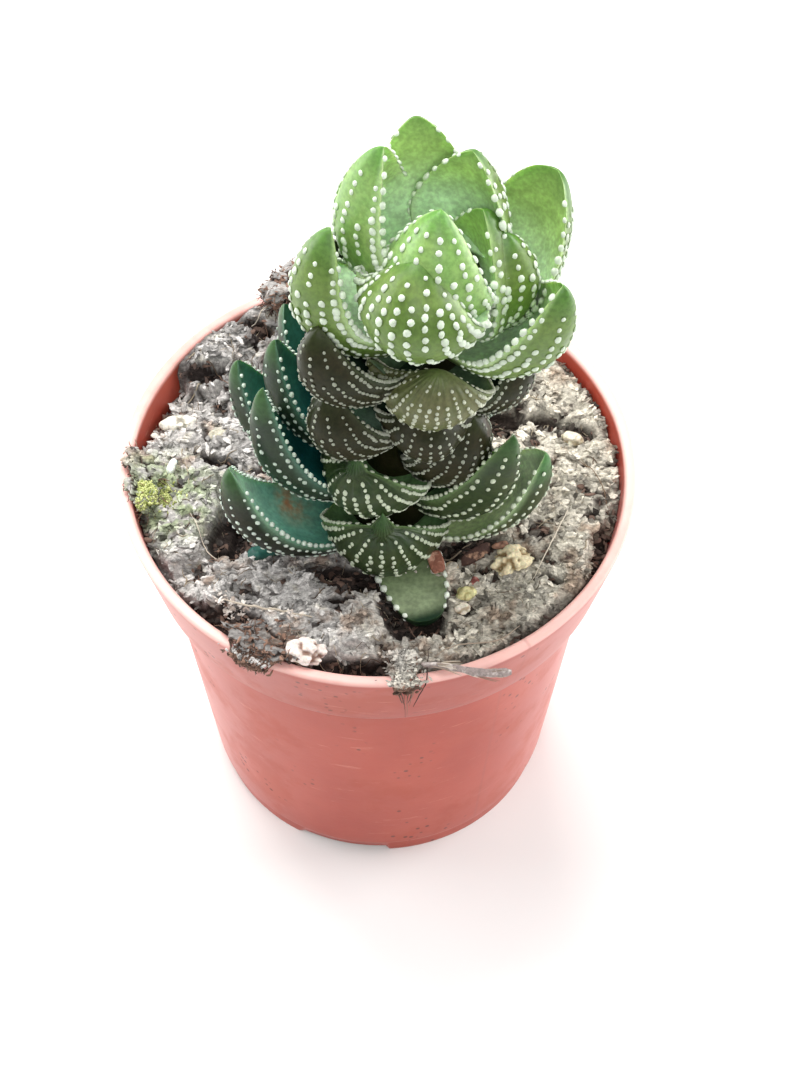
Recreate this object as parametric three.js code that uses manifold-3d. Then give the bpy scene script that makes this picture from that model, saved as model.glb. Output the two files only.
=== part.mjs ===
// A haworthia in a small nursery pot: one leafy stem of thick pointed leaves with raised tubercles,
// rough potting mix with stones, bark chips and a twig, and a thin tapered pot with a collar.
// Millimetres, +Z up. The origin is the middle of the pot's foot, on the ground, and -Y is the front.
import * as THREE from "three";
import { mergeVertices } from "three/addons/utils/BufferGeometryUtils.js";
import Module from "manifold-3d";

const wasm = await Module();
wasm.setup();

// Pot: a thin tapered wall, a collar that steps out under the lip, and a notched foot ring.
const POT_HEIGHT = 75.5;
const RIM_RADIUS = 42.5;
const LIP_WIDTH = 2;
const LIP_ROUND = 0.6;
const COLLAR_HEIGHT = 15.9;
const COLLAR_FOOT_RADIUS = 38.85;
const COLLAR_WALL = 1.3;
const WALL_TOP_RADIUS = 36.5;
const WALL_FOOT_RADIUS = 30.6;
const WALL = 1.2;
const FOOT_RADIUS = 29.75;
const FOOT_HEIGHT = 3.6;
const FOOT_WALL = 1.3;
const FLOOR_THICKNESS = 1.5;
const POT_SEGMENTS = 64;
const NOTCH_COUNT = 3;
const NOTCH_FIRST_AZIMUTH = -13;
const NOTCH_ANGLE = 31;
const NOTCH_HEIGHT = 1.8;
const DRAIN_COUNT = 4;
const DRAIN_RADIUS = 3;
const DRAIN_CIRCLE = 18;

// Potting mix: its top lies just under the rim, a little lower at the back left.
const GAP = 0.3;
const LEAF_GAP = 0.5;
const SOIL_LEVEL = 72.2;
const SOIL_SEGMENTS = 40;
const SOIL_RINGS = 9;
const SOIL_TILT = 0.035;
const SOIL_ROUGHNESS = 0.4;

// Stem: a straight axis that leans to the right as it rises.
const STEM_X = 1;
const STEM_Y = -6.5;
const STEM_LEAN = 0.165;
const STEM_SOIL_Z = 72;
const STEM_DEPTH = 20;
const STEM_TOP = 61;
const STEM_RADIUS = 8;
const STEM_TOP_RADIUS = 5;
const STEM_SEGMENTS = 16;

// Leaves: a midrib curve from the stem, a plan that narrows to the tip, and a rounded back.
const LEAF_ROOT = 3;
const LEAF_CUP = 0.25;
const MUCRO_WIDTH = 0.16;
const TUBERCLE_HEIGHT = 0.5;
const FRONT_GRID = { along: 8, across: 10, inner: 2 };
const BACK_GRID = { along: 6, across: 6, inner: 2 };
const HOLLOW_GRID = { along: 7, across: 6, inner: 2 };

// One row is one leaf: height of its root above the mix, azimuth (0 is the front, 90 the right),
// belly and tip as [out, up] from the root, half width w and thickness t. Some leaves also have a
// deeper cup, a fuller plan, a roll in degrees about the midrib, a swing of the tip to the side in mm,
// a stubby end that stays thick, or a mucro, the part of the length that is a thin point.
const FRONT_LEAVES = [
  { h: 1, az: 16, belly: [13, 0.5], tip: [23.6, 0.6], w: 5.7, t: 5, cup: 0.05, full: 0.36, stub: 12 },
  { h: 3, az: -65, belly: [23.5, 0], tip: [26.5, 22.6], w: 7.2, t: 5.5, full: 0.58 },
  { h: 4, az: -4, belly: [17, -1], tip: [14.8, 15.6], w: 10.7, t: 5, cup: 0.42, full: 0.6, mucro: 0.12 },
  { h: 4, az: 74, belly: [21, -1], tip: [25, 20], w: 7, t: 5, cup: 0.5, full: 0.6, roll: 18 },
  { h: 11, az: 58, belly: [17.5, -1], tip: [20.5, 22.5], w: 7, t: 4.5, cup: 0.45, roll: -10 },
  { h: 12, az: -102, belly: [22, -1], tip: [25, 20], w: 6.5, t: 5.5 },
  { h: 15, az: -72, belly: [20.5, -2], tip: [21.5, 25], w: 6.5, t: 5.5 },
  { h: 18, az: -33, belly: [16, -2], tip: [13.2, 11.6], w: 10.2, t: 5, cup: 0.45, full: 0.6, mucro: 0.12 },
  { h: 21, az: 47, belly: [13.5, -1], tip: [12.5, 15.5], w: 8.3, t: 5, cup: 0.45, roll: -8 },
  { h: 21, az: -125, belly: [17, -2], tip: [23, 15], w: 6.5, t: 5.5 },
  { h: 22, az: -95, belly: [18, -3], tip: [20, 19], w: 6.5, t: 5.5 },
  { h: 30.5, az: -54, belly: [18.5, -3], tip: [16, 12], w: 8, t: 5, cup: 0.5, roll: 6 },
  { h: 34, az: 4, belly: [15, -2], tip: [12, 7.5], w: 8, t: 5, cup: 0.5 },
  { h: 36, az: 75, belly: [15, -2], tip: [14, 10], w: 7, t: 5 },
  { h: 42, az: -8, belly: [15, -3], tip: [10.8, 7.4], w: 10, t: 5, cup: 0.4, roll: -10, swing: 2.6 },
  { h: 42.5, az: -62, belly: [20, -3], tip: [18.5, 13.5], w: 8.3, t: 5.5, cup: 0.5, roll: 6 },
  { h: 47.5, az: 63, belly: [17.5, -2], tip: [19.3, 17.2], w: 8.5, t: 5.5, cup: 0.5, roll: 5 },
  { h: 49, az: 117, belly: [16, -1], tip: [18.8, 21], w: 9, t: 5, cup: 0.45, full: 0.36, roll: 12 },
  { h: 49.5, az: -82, belly: [22, -2], tip: [15.8, 20], w: 8.5, t: 6, cup: 0.3, full: 0.65, roll: 6 },
  { h: 53, az: 82, belly: [12.5, 0], tip: [8, 14.5], w: 7, t: 5 },
  { h: 53, az: 92, belly: [6.5, 0], tip: [5.2, 17.8], w: 9.6, t: 6, cup: 0.25, roll: 24 },
  { h: 57, az: -110, belly: [17, 0], tip: [10, 23], w: 8.5, t: 6, cup: 0.6, roll: 4 },
  { h: 58, az: 205, belly: [10, 4], tip: [11.6, 20.8], w: 8, t: 5, cup: 0.15, full: 0.6, roll: -20 },
  { h: 58.5, az: -29, belly: [18.5, -2], tip: [7.9, 11], w: 11, t: 6.5, cup: 0.3, roll: -1 },
  { h: 60, az: 155, belly: [7, 4], tip: [6, 17], w: 8.6, t: 5, cup: 0.35, full: 0.76, roll: -10 },
  { h: 58.5, az: -26, belly: [10.5, 0], tip: [4, 16.5], w: 9.4, t: 6, cup: 0.2 },
];

// The leaves behind follow the spiral: three rows that turn a little as they climb.
const BACK_ROWS = [
  { az: 132, turn: 8, h: 6, count: 5 },
  { az: 172, turn: 8, h: 9, count: 5 },
  { az: 208, turn: 4, h: 4, count: 4 },
];
const BACK_STEP = 9.5;
const BACK_LEAF = { belly: [19, -2], tip: [19.5, 17.5], w: 7.8, t: 5 };
const BACK_SPREAD = { az: 5, reach: 1.6, rise: 1.8, w: 0.7 };

// Stones and crumbs of the mix: middle of each on the ground, half sizes and turn about Z.
const STONES = [
  { name: "stone_white", at: [-33, 11.6, 72.4], half: [2.9, 1.6, 1.2], turn: 8, color: 0xdad6cc },
  { name: "stone_flake", at: [-34, 2, 73.2], half: [0.8, 1.5, 0.7], turn: -15, color: 0xc9c6bc },
  { name: "stone_pale", at: [32.3, 7.3, 72.9], half: [2.2, 1.4, 1.2], turn: -25, color: 0xc4b9a4 },
  { name: "crumb_yellow", at: [21.2, -18, 73.9], half: [3.9, 2.5, 1.9], turn: 25, color: 0xcbb27c },
  { name: "grit_yellow", at: [13.9, -24, 73.5], half: [1.9, 1.4, 1.2], turn: 10, color: 0xc6b071 },
  { name: "grit_pale", at: [13.1, -26.9, 73.4], half: [1.5, 1.1, 0.9], turn: 10, color: 0xb5ac96 },
  { name: "chunk_pale", at: [-11.4, -36.6, 76.2], half: [3.6, 2.4, 1.9], turn: -10, color: 0xa79f8c },
];
const CHIPS = [
  { name: "bark_inner", at: [9.1, -19, 75.1], half: [2.2, 1.3], thick: 1.4, turn: -75, tip: 10 },
  { name: "bark_outer", at: [15.5, -16.2, 73], half: [3.1, 1.1], thick: 1.4, turn: 36, tip: 18 },
];
const TWIG_RADIUS = 0.75;
const TWIG_ROUTE = [
  [6.5, -38.9, 76.1],
  [10.5, -39.9, 76.75],
  [15.5, -41, 76.7],
  [20.2, -41.3, 77.3],
];

// Lumps of the mix, some of them on the lip: azimuth, radius, height and half size.
const LUMPS = [
  { az: -30, r: 38, z: 75.4, size: 4 },
  { az: -23, r: 38.9, z: 75.6, size: 3.4 },
  { az: -90, r: 38.6, z: 75.7, size: 3 },
  { az: -82, r: 38.6, z: 75.7, size: 2.8 },
  { az: -157, r: 38.6, z: 76.6, size: 3.9 },
  { az: -156, r: 38.4, z: 79.4, size: 3 },
  { az: 10, r: 35.6, z: 73.4, size: 3.4 },
  { az: 62, r: 35.5, z: 73, size: 3.6 },
  { az: 95, r: 27, z: 72.4, size: 3.8 },
  { az: 140, r: 33, z: 72.6, size: 3.6 },
  { az: -130, r: 30, z: 73.2, size: 4.2 },
  { az: -50, r: 31, z: 72.8, size: 3.8 },
];

// The crust broke into plates and sank into hollows: middle on the ground, half length, half width,
// turn in degrees, and how far it rises or drops.
const OVALS = [
  [-12.5, -27.5, 15, 8.5, -20, 2.2],
  [-33, -5, 14, 7.5, 100, 1.7],
  [28.5, -19, 15, 8, 62, 1.5],
  [7, -36, 7.5, 4.5, 10, 1.5],
  [34, 1, 8, 5, 85, 1],
  [-25, 29.5, 14, 7.5, 40, 3.2],
  [12, 33, 11, 6, 20, 0.9],
  [34, 21, 7, 4, 110, 0.8],
  [-24.5, -12, 4.6, 3.2, 60, -4.6],
  [-36.6, 14.5, 5, 1.8, 112, -3.4],
  [20.2, 13, 4, 3, 15, -3.6],
  [13.5, -14.8, 7, 2.6, 12, -2.6],
  [-5.5, -20.5, 7, 3, -10, -2.8],
  [5.5, -27.5, 6, 5, 90, -3.4],
  [-3, -37.6, 8.5, 2.1, 2, -3.8],
  [-26.5, -29.6, 8, 2.2, -45, -2.6],
];
const OVAL_EDGE = 0.2;

const COLORS = {
  pot: 0xc98070,
  soil: 0x6b6157,
  leaf: 0x4d7a3c,
  bark: 0x6a4634,
  twig: 0x8c8378,
};

const radians = THREE.MathUtils.degToRad;

// A seeded draw between -1 and 1.
function draws(seed) {
  let state = seed;
  return () => {
    state = (state * 16807) % 2147483647;
    return (state / 2147483647) * 2 - 1;
  };
}

// The point at an azimuth, a radius and a height: azimuth 0 is -Y, 90 is +X.
function polar(azimuth, radius, z) {
  const a = radians(azimuth);
  return new THREE.Vector3(radius * Math.sin(a), -radius * Math.cos(a), z);
}

function solidOf(geometry) {
  const bare = geometry.clone();
  bare.deleteAttribute("normal");
  bare.deleteAttribute("uv");
  const merged = mergeVertices(bare, 1e-4);
  return new wasm.Manifold(
    new wasm.Mesh({
      numProp: 3,
      vertProperties: merged.attributes.position.array,
      triVerts: new Uint32Array(merged.index.array),
    }),
  );
}

function geometryOf(solid) {
  const mesh = solid.getMesh();
  const geometry = new THREE.BufferGeometry();
  geometry.setAttribute("position", new THREE.BufferAttribute(mesh.vertProperties, 3));
  geometry.setIndex(new THREE.BufferAttribute(mesh.triVerts, 1));
  geometry.computeVertexNormals();
  return geometry;
}

// The largest body of a solid: what a cut left loose, and voids shut inside, drop out.
function mainBody(solid) {
  return solid.decompose().reduce((a, b) => (b.volume() > a.volume() ? b : a));
}

function matte(color, roughness) {
  return new THREE.MeshStandardMaterial({ color, roughness, metalness: 0 });
}

function named(name, geometry, material) {
  const mesh = new THREE.Mesh(geometry, material);
  mesh.name = name;
  return mesh;
}

// A LatheGeometry turns about Y, so it is stood up to turn about Z.
function lathe(profile, segments) {
  const points = profile.map(([r, z]) => new THREE.Vector2(r, z));
  return new THREE.LatheGeometry(points, segments).rotateX(Math.PI / 2);
}

// A closed surface from rings of points: the first and last ring are shut by a fan about their middle.
function loft(rings) {
  const count = rings[0].length;
  const middle = (ring) =>
    ring.reduce((sum, p) => sum.add(p), new THREE.Vector3()).divideScalar(count);
  const points = [...rings.flat(), middle(rings[0]), middle(rings.at(-1))];
  const faces = [];
  for (let i = 0; i + 1 < rings.length; i++)
    for (let j = 0; j < count; j++) {
      const next = (j + 1) % count;
      const a = i * count + j;
      const b = i * count + next;
      faces.push(a, b, b + count, a, b + count, a + count);
    }
  const last = (rings.length - 1) * count;
  for (let j = 0; j < count; j++) {
    const next = (j + 1) % count;
    faces.push(points.length - 2, next, j);
    faces.push(points.length - 1, last + j, last + next);
  }
  const geometry = new THREE.BufferGeometry().setFromPoints(points);
  geometry.setIndex(faces);
  return geometry;
}

// The pot's inside radius at a height.
const INNER = [
  [WALL_FOOT_RADIUS - WALL, FOOT_HEIGHT + FLOOR_THICKNESS],
  [WALL_TOP_RADIUS - WALL, POT_HEIGHT - COLLAR_HEIGHT - 0.6],
  [COLLAR_FOOT_RADIUS - COLLAR_WALL, POT_HEIGHT - COLLAR_HEIGHT + WALL],
  [RIM_RADIUS - LIP_WIDTH, POT_HEIGHT - LIP_ROUND],
];

function innerRadius(z) {
  const i = Math.max(1, INNER.findIndex(([, top]) => top >= z));
  const [r0, z0] = INNER[i - 1];
  const [r1, z1] = INNER[i];
  return THREE.MathUtils.mapLinear(z, z0, z1, r0, r1);
}

function makePot() {
  const shoulder = POT_HEIGHT - COLLAR_HEIGHT;
  const profile = [
    [0, FOOT_HEIGHT],
    [FOOT_RADIUS - FOOT_WALL, FOOT_HEIGHT],
    [FOOT_RADIUS - FOOT_WALL, 0],
    [FOOT_RADIUS, 0],
    [FOOT_RADIUS + 0.25, FOOT_HEIGHT - 0.3],
    [WALL_FOOT_RADIUS, FOOT_HEIGHT + 0.3],
    [WALL_TOP_RADIUS, shoulder],
    [COLLAR_FOOT_RADIUS - 0.4, shoulder],
    [COLLAR_FOOT_RADIUS, shoulder + 0.4],
    [RIM_RADIUS, POT_HEIGHT - LIP_ROUND],
    [RIM_RADIUS - LIP_ROUND / 2, POT_HEIGHT],
    [RIM_RADIUS - LIP_WIDTH + LIP_ROUND / 2, POT_HEIGHT],
    ...INNER.toReversed(),
    [0, FOOT_HEIGHT + FLOOR_THICKNESS],
  ];
  let pot = solidOf(lathe(profile, POT_SEGMENTS));
  const chord = 2 * FOOT_RADIUS * Math.sin(radians(NOTCH_ANGLE / 2));
  for (let i = 0; i < NOTCH_COUNT; i++) {
    const azimuth = NOTCH_FIRST_AZIMUTH + (360 / NOTCH_COUNT) * i;
    const notch = new THREE.BoxGeometry(chord, 4 * FOOT_WALL, 2 * NOTCH_HEIGHT)
      .translate(0, FOOT_WALL / 2 - FOOT_RADIUS, 0)
      .rotateZ(radians(azimuth));
    pot = pot.subtract(solidOf(notch));
  }
  for (let i = 0; i < DRAIN_COUNT; i++) {
    const { x, y } = polar(45 + (360 / DRAIN_COUNT) * i, DRAIN_CIRCLE, 0);
    const drain = new THREE.CylinderGeometry(DRAIN_RADIUS, DRAIN_RADIUS, 4 * FLOOR_THICKNESS, 16)
      .rotateX(Math.PI / 2)
      .translate(x, y, FOOT_HEIGHT + FLOOR_THICKNESS / 2);
    pot = pot.subtract(solidOf(drain));
  }
  return pot;
}

// The stem's axis at a height above the mix.
function stemPoint(h) {
  return new THREE.Vector3(STEM_X + STEM_LEAN * h, STEM_Y, STEM_SOIL_Z + h);
}

function makeStem(grow) {
  const circle = (h, radius) =>
    Array.from({ length: STEM_SEGMENTS }, (_, i) =>
      polar((360 / STEM_SEGMENTS) * i, radius + grow, 0).add(stemPoint(h)),
    );
  return solidOf(
    loft([
      circle(-STEM_DEPTH - grow, STEM_RADIUS - 1),
      circle(0, STEM_RADIUS),
      circle(STEM_TOP - 3, STEM_TOP_RADIUS),
      circle(STEM_TOP, STEM_TOP_RADIUS / 2),
    ]),
  );
}

// One leaf as a closed grid. Its midrib is a quadratic curve through root, belly and tip; its half
// width follows (1 - s^3)^full; the back stands off by the thickness times a rounded section,
// and every second vertex of the back is raised, as a tubercle.
function makeLeaf(leaf, grid, grow = 0) {
  const { h, az, belly, tip, w, t, full = 0.75, cup = LEAF_CUP, roll = 0, swing = 0 } = leaf;
  const { stub = 3, mucro = 0 } = leaf;
  const out = polar(az, 1, 0);
  const up = new THREE.Vector3(0, 0, 1);
  const side = polar(az + 90, 1, 0);
  const root = stemPoint(h);
  const midrib = new THREE.QuadraticBezierCurve(
    new THREE.Vector2(LEAF_ROOT, 0),
    new THREE.Vector2(...belly),
    new THREE.Vector2(...tip),
  );
  const place = (v) => out.clone().multiplyScalar(v.x).addScaledVector(up, v.y);
  const rings = [];
  for (let i = 0; i < grid.along; i++) {
    const s = i / grid.along;
    const tangent = midrib.getTangent(s);
    const body = Math.min(s / (1 - mucro), 1);
    const spike = mucro && s > 0.5 ? MUCRO_WIDTH * w * Math.min((1 - s) / mucro, 1) : 0;
    const wide = w * (0.75 + 0.25 * Math.sin((Math.PI / 2) * Math.min(s / 0.45, 1)));
    const thick = t * (0.9 + 0.1 * Math.sin((Math.PI / 2) * Math.min(s / 0.4, 1)));
    const width = grow + Math.max(wide * (1 - body ** 3) ** full, spike);
    const depth = 2 * grow + Math.max(thick * (1 - body ** stub) ** 0.6, spike);
    const turn = radians(roll);
    const flat = place({ x: -tangent.y, y: tangent.x });
    const across = side.clone().multiplyScalar(Math.cos(turn)).addScaledVector(flat, Math.sin(turn));
    const inward = flat.multiplyScalar(Math.cos(turn)).addScaledVector(side, -Math.sin(turn));
    const centre = root.clone().add(place(midrib.getPoint(s))).addScaledVector(side, swing * s * s)
      .addScaledVector(inward, grow);
    const point = (u, back) => {
      const section = (1 - Math.abs(u) ** 2.2) ** 0.62;
      return centre.clone().addScaledVector(across, width * u)
        .addScaledVector(inward, cup * width * u * u - back * section);
    };
    const ring = [];
    for (let j = 0; j <= grid.across; j++) {
      const v = (2 * j) / grid.across - 1;
      const u = (v + Math.sin((Math.PI / 2) * v)) / 2;
      const tubercle = i > 1 && (i + j) % 2 === 0 && Math.abs(v) < 1;
      const raised = tubercle || grow > 0 ? TUBERCLE_HEIGHT : 0;
      ring.push(point(u, depth + raised));
    }
    for (let j = grid.inner - 1; j > 0; j--) ring.push(point((2 * j) / grid.inner - 1, 0));
    rings.push(ring);
  }
  const end = root.clone().add(place(midrib.getPoint(1 + grow / 20))).addScaledVector(side, swing);
  rings.push(rings[0].map(() => end));
  return solidOf(loft(rings));
}

function backLeaves() {
  const next = draws(29);
  const leaves = [];
  for (const { az, turn, h, count } of BACK_ROWS)
    for (let i = 0; i < count; i++) {
      const reach = BACK_SPREAD.reach * next();
      leaves.push({
        h: h + BACK_STEP * i,
        az: az + turn * i + BACK_SPREAD.az * next(),
        belly: [BACK_LEAF.belly[0] + reach, BACK_LEAF.belly[1]],
        tip: [BACK_LEAF.tip[0] + reach, BACK_LEAF.tip[1] + BACK_SPREAD.rise * next()],
        w: BACK_LEAF.w + BACK_SPREAD.w * next(),
        t: BACK_LEAF.t,
      });
    }
  return leaves;
}

function makeLeafyStem() {
  let plant = makeStem(0);
  for (const leaf of FRONT_LEAVES) plant = plant.add(makeLeaf(leaf, FRONT_GRID));
  for (const leaf of backLeaves()) plant = plant.add(makeLeaf(leaf, BACK_GRID));
  return mainBody(plant.simplify(0.03));
}

// A stone: a ball of 80 faces, its corners moved in and out by a seeded draw.
function makeStone({ at, half, turn }, grow = 0) {
  const ball = mergeVertices(bareBall());
  const next = draws(Math.round(Math.abs(at[0] * 91 + at[1] * 37)) + 3);
  const corners = ball.attributes.position;
  for (let i = 0; i < corners.count; i++) {
    const scale = 1 + 0.13 * next();
    corners.setXYZ(i, corners.getX(i) * scale, corners.getY(i) * scale, corners.getZ(i) * scale);
  }
  ball.scale(...half.map((size) => size + grow));
  return solidOf(ball.rotateZ(radians(turn)).translate(...at));
}

function bareBall() {
  const ball = new THREE.IcosahedronGeometry(1, 1);
  ball.deleteAttribute("normal");
  ball.deleteAttribute("uv");
  return ball;
}

// A bark chip: a rough outline with split ends, extruded and tipped up on edge.
function makeChip({ at, half, thick, turn, tip }, grow = 0) {
  const [a, b] = half.map((size) => size + grow);
  const outline = new THREE.Shape([
    new THREE.Vector2(-a, -0.5 * b),
    new THREE.Vector2(-0.4 * a, -b),
    new THREE.Vector2(0.7 * a, -0.8 * b),
    new THREE.Vector2(a, 0.1 * b),
    new THREE.Vector2(0.5 * a, 0.9 * b),
    new THREE.Vector2(-0.6 * a, 0.75 * b),
  ]);
  const depth = thick + 2 * grow;
  const chip = new THREE.ExtrudeGeometry(outline, { depth, bevelEnabled: false })
    .translate(0, 0, -depth / 2)
    .rotateX(radians(tip))
    .rotateZ(radians(turn))
    .translate(...at);
  return solidOf(chip);
}

function makeTwig(grow = 0) {
  const route = new THREE.CatmullRomCurve3(TWIG_ROUTE.map((p) => new THREE.Vector3(...p)));
  const section = new THREE.Shape();
  section.absarc(0, 0, TWIG_RADIUS + grow, 0, 2 * Math.PI, false);
  return solidOf(
    new THREE.ExtrudeGeometry(section, {
      steps: 9,
      curveSegments: 4,
      bevelEnabled: false,
      extrudePath: route,
    }),
  );
}

// The rough top of the mix: a tilt to the back left, crossed waves of several sizes, and the plates and
// hollows of the crust.
function soilHeight(x, y) {
  const waves =
    Math.sin(x / 3.1 + 1.7) * Math.cos(y / 3.7 + 0.4) +
    0.7 * Math.sin((x + y) / 2.1 + 0.9) +
    0.6 * Math.cos((x - 1.4 * y) / 2.6 + 2.2);
  const level = SOIL_LEVEL - SOIL_TILT * (y - 0.6 * x) + SOIL_ROUGHNESS * waves;
  return OVALS.reduce((z, [cx, cy, length, width, turn, rise]) => {
    const c = Math.cos(radians(turn));
    const s = Math.sin(radians(turn));
    const along = (c * (x - cx) + s * (y - cy)) / length;
    const across = (c * (y - cy) - s * (x - cx)) / width;
    const outside = THREE.MathUtils.smoothstep(Math.hypot(along, across), 1 - OVAL_EDGE, 1 + OVAL_EDGE);
    return z + rise * (1 - outside);
  }, level);
}

function makeLump({ az, r, z, size }) {
  const { x, y } = polar(az, r, 0);
  return makeStone({ at: [x, y, z - 0.3 * size], half: [1.3 * size, size, 0.6 * size], turn: az + 25 });
}

function makeSoil() {
  const floor = FOOT_HEIGHT + FLOOR_THICKNESS + GAP;
  const around = (place) =>
    Array.from({ length: SOIL_SEGMENTS }, (_, i) => place((360 / SOIL_SEGMENTS) * i));
  const wall = (z) => around((azimuth) => polar(azimuth, innerRadius(z) - GAP, z));
  const edgeZ = (azimuth) => {
    const { x, y } = polar(azimuth, RIM_RADIUS - LIP_WIDTH, 0);
    return Math.min(soilHeight(x, y), POT_HEIGHT - LIP_ROUND);
  };
  const rings = [wall(floor), wall(INNER[1][1] - GAP), wall(INNER[2][1] - GAP)];
  rings.push(around((azimuth) => polar(azimuth, innerRadius(edgeZ(azimuth)) - GAP, edgeZ(azimuth))));
  for (let k = SOIL_RINGS - 1; k > 0; k--)
    rings.push(
      around((azimuth) => {
        const jitter = 0.25 * Math.sin(azimuth * 2.3 + k * 1.9);
        const p = polar(azimuth, ((k + jitter) / SOIL_RINGS) * (innerRadius(70) - GAP), 0);
        return p.setZ(soilHeight(p.x, p.y));
      }),
    );
  let soil = solidOf(loft(rings));
  for (const lump of LUMPS) soil = soil.add(makeLump(lump));

  // What stands or lies in the mix has a hollow of its own, a little wider all round.
  const lip = RIM_RADIUS - LIP_WIDTH - GAP;
  const far = 2 * RIM_RADIUS;
  const potClearance = [
    [INNER[2][0] - GAP, INNER[2][1]],
    [far, INNER[2][1]],
    [far, POT_HEIGHT + GAP],
    [lip, POT_HEIGHT + GAP],
    [lip, POT_HEIGHT - LIP_ROUND],
    [INNER[2][0] - GAP, INNER[2][1]],
  ];
  soil = soil.subtract(solidOf(lathe(potClearance, POT_SEGMENTS)));
  soil = soil.subtract(makeStem(GAP));
  const low = (leaf) => leaf.h < 12;
  for (const leaf of [...FRONT_LEAVES, ...backLeaves()].filter(low))
    soil = soil.subtract(makeLeaf(leaf, HOLLOW_GRID, LEAF_GAP));
  for (const stone of STONES) soil = soil.subtract(makeStone(stone, GAP));
  for (const chip of CHIPS) soil = soil.subtract(makeChip(chip, GAP));
  soil = soil.subtract(makeTwig(GAP));
  return mainBody(soil.simplify(0.1));
}

const plant = new THREE.Group();
plant.add(named("pot", geometryOf(makePot()), matte(COLORS.pot, 0.55)));
plant.add(named("soil", geometryOf(makeSoil()), matte(COLORS.soil, 0.95)));
plant.add(named("leafy_stem", geometryOf(makeLeafyStem()), matte(COLORS.leaf, 0.5)));
for (const stone of STONES)
  plant.add(named(stone.name, geometryOf(makeStone(stone)), matte(stone.color, 0.9)));
for (const chip of CHIPS)
  plant.add(named(chip.name, geometryOf(makeChip(chip)), matte(COLORS.bark, 0.9)));
plant.add(named("twig", geometryOf(makeTwig()), matte(COLORS.twig, 0.9)));

export default plant;
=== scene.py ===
# %% [markdown]
# # A haworthia in a small nursery pot
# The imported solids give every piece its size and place. Here each of them gets its finish: thick
# green leaves with pearly tubercles, a crusty potting mix, and a thin terracotta-coloured pot.
# Each new surface is worked out with numpy in millimetres and becomes a mesh in metres.

# %% Load the fixed frame
import math
import bmesh
import bpy
import numpy as np
from mathutils import Matrix, Vector


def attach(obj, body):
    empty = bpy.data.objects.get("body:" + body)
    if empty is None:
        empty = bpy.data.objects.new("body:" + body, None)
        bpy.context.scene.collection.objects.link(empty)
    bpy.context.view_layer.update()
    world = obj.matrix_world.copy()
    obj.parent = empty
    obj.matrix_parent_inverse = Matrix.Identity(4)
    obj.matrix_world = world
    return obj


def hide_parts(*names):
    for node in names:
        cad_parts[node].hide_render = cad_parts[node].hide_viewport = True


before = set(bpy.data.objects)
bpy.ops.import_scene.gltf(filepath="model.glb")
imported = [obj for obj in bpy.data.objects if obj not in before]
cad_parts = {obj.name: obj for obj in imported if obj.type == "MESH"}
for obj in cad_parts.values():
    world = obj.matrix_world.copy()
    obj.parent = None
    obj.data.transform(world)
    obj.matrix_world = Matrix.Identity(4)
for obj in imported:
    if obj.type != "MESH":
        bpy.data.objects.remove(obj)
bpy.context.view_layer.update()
MM = 0.001
print("solids:", sorted(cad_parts))

# %% [markdown]
# ## Camera
# The photograph looks down on the pot from the front. The camera's height, distance and lens were
# worked out from the rim, the collar and the foot, which are circles of known size. The middle of
# the rim doesn't lie in the middle of the photograph, so the camera turns a little aside instead of
# using a lens shift.

# %% Place the camera
# Pixels for the photograph and the lens, metres for places, and mm for the sensor
PHOTO_WIDTH, PHOTO_HEIGHT = 800, 1067
FOCAL_PIXELS = 2500
RIM_PIXEL = (378.33, 465.65)
CAMERA_ELEVATION = math.radians(52.67)
CAMERA_DISTANCE = 0.4088
CAMERA_ROLL = math.radians(-0.371)
SENSOR_HEIGHT = 36.0
RIM_HEIGHT = 0.0755


def turned(first, second, angle):
    """Turns a pair of axes in their own plane by an angle, and returns both."""
    c, s = math.cos(angle), math.sin(angle)
    return first * c + second * s, second * c - first * s


def place_camera():
    """Looks at the middle of the rim, then turns so that it falls on its pixel."""
    back = Vector((0, -math.cos(CAMERA_ELEVATION), math.sin(CAMERA_ELEVATION)))
    right = Vector((1, 0, 0))
    right, up = turned(right, back.cross(right), CAMERA_ROLL)
    across = math.atan2(RIM_PIXEL[0] - PHOTO_WIDTH / 2, FOCAL_PIXELS)
    down = RIM_PIXEL[1] - PHOTO_HEIGHT / 2
    rise = math.atan2(-down, math.hypot(FOCAL_PIXELS, RIM_PIXEL[0] - PHOTO_WIDTH / 2))
    forward, right = turned(-back, -right, across)
    forward, up = turned(forward, -up, rise)
    right, up = -right, -up
    camera = bpy.data.objects.new("camera", bpy.data.cameras.new("camera"))
    bpy.context.collection.objects.link(camera)
    place = Vector((0, 0, RIM_HEIGHT)) + back * CAMERA_DISTANCE
    camera.matrix_world = Matrix.Translation(place) @ Matrix((right, up, -forward)).transposed().to_4x4()
    camera.data.sensor_fit = "VERTICAL"
    camera.data.sensor_height = SENSOR_HEIGHT
    camera.data.lens = FOCAL_PIXELS / PHOTO_HEIGHT * SENSOR_HEIGHT
    camera.data.clip_start = 0.01
    bpy.context.scene.camera = camera
    return camera


camera = place_camera()
print("camera at", [round(c, 4) for c in camera.location], "lens", round(camera.data.lens, 2))

# %% [markdown]
# ## Light and floor
# The plant stood in bright daylight that came from above and behind, so the edges of the pot and the
# crown glow and the undersides of the leaves are deep. Large area lights copy that: one above and
# behind, one on each side of the pot, and a weak one from the front. The floor is plain and pale.

# %% Light the scene
bpy.context.scene.view_settings.view_transform = "Standard"


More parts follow.
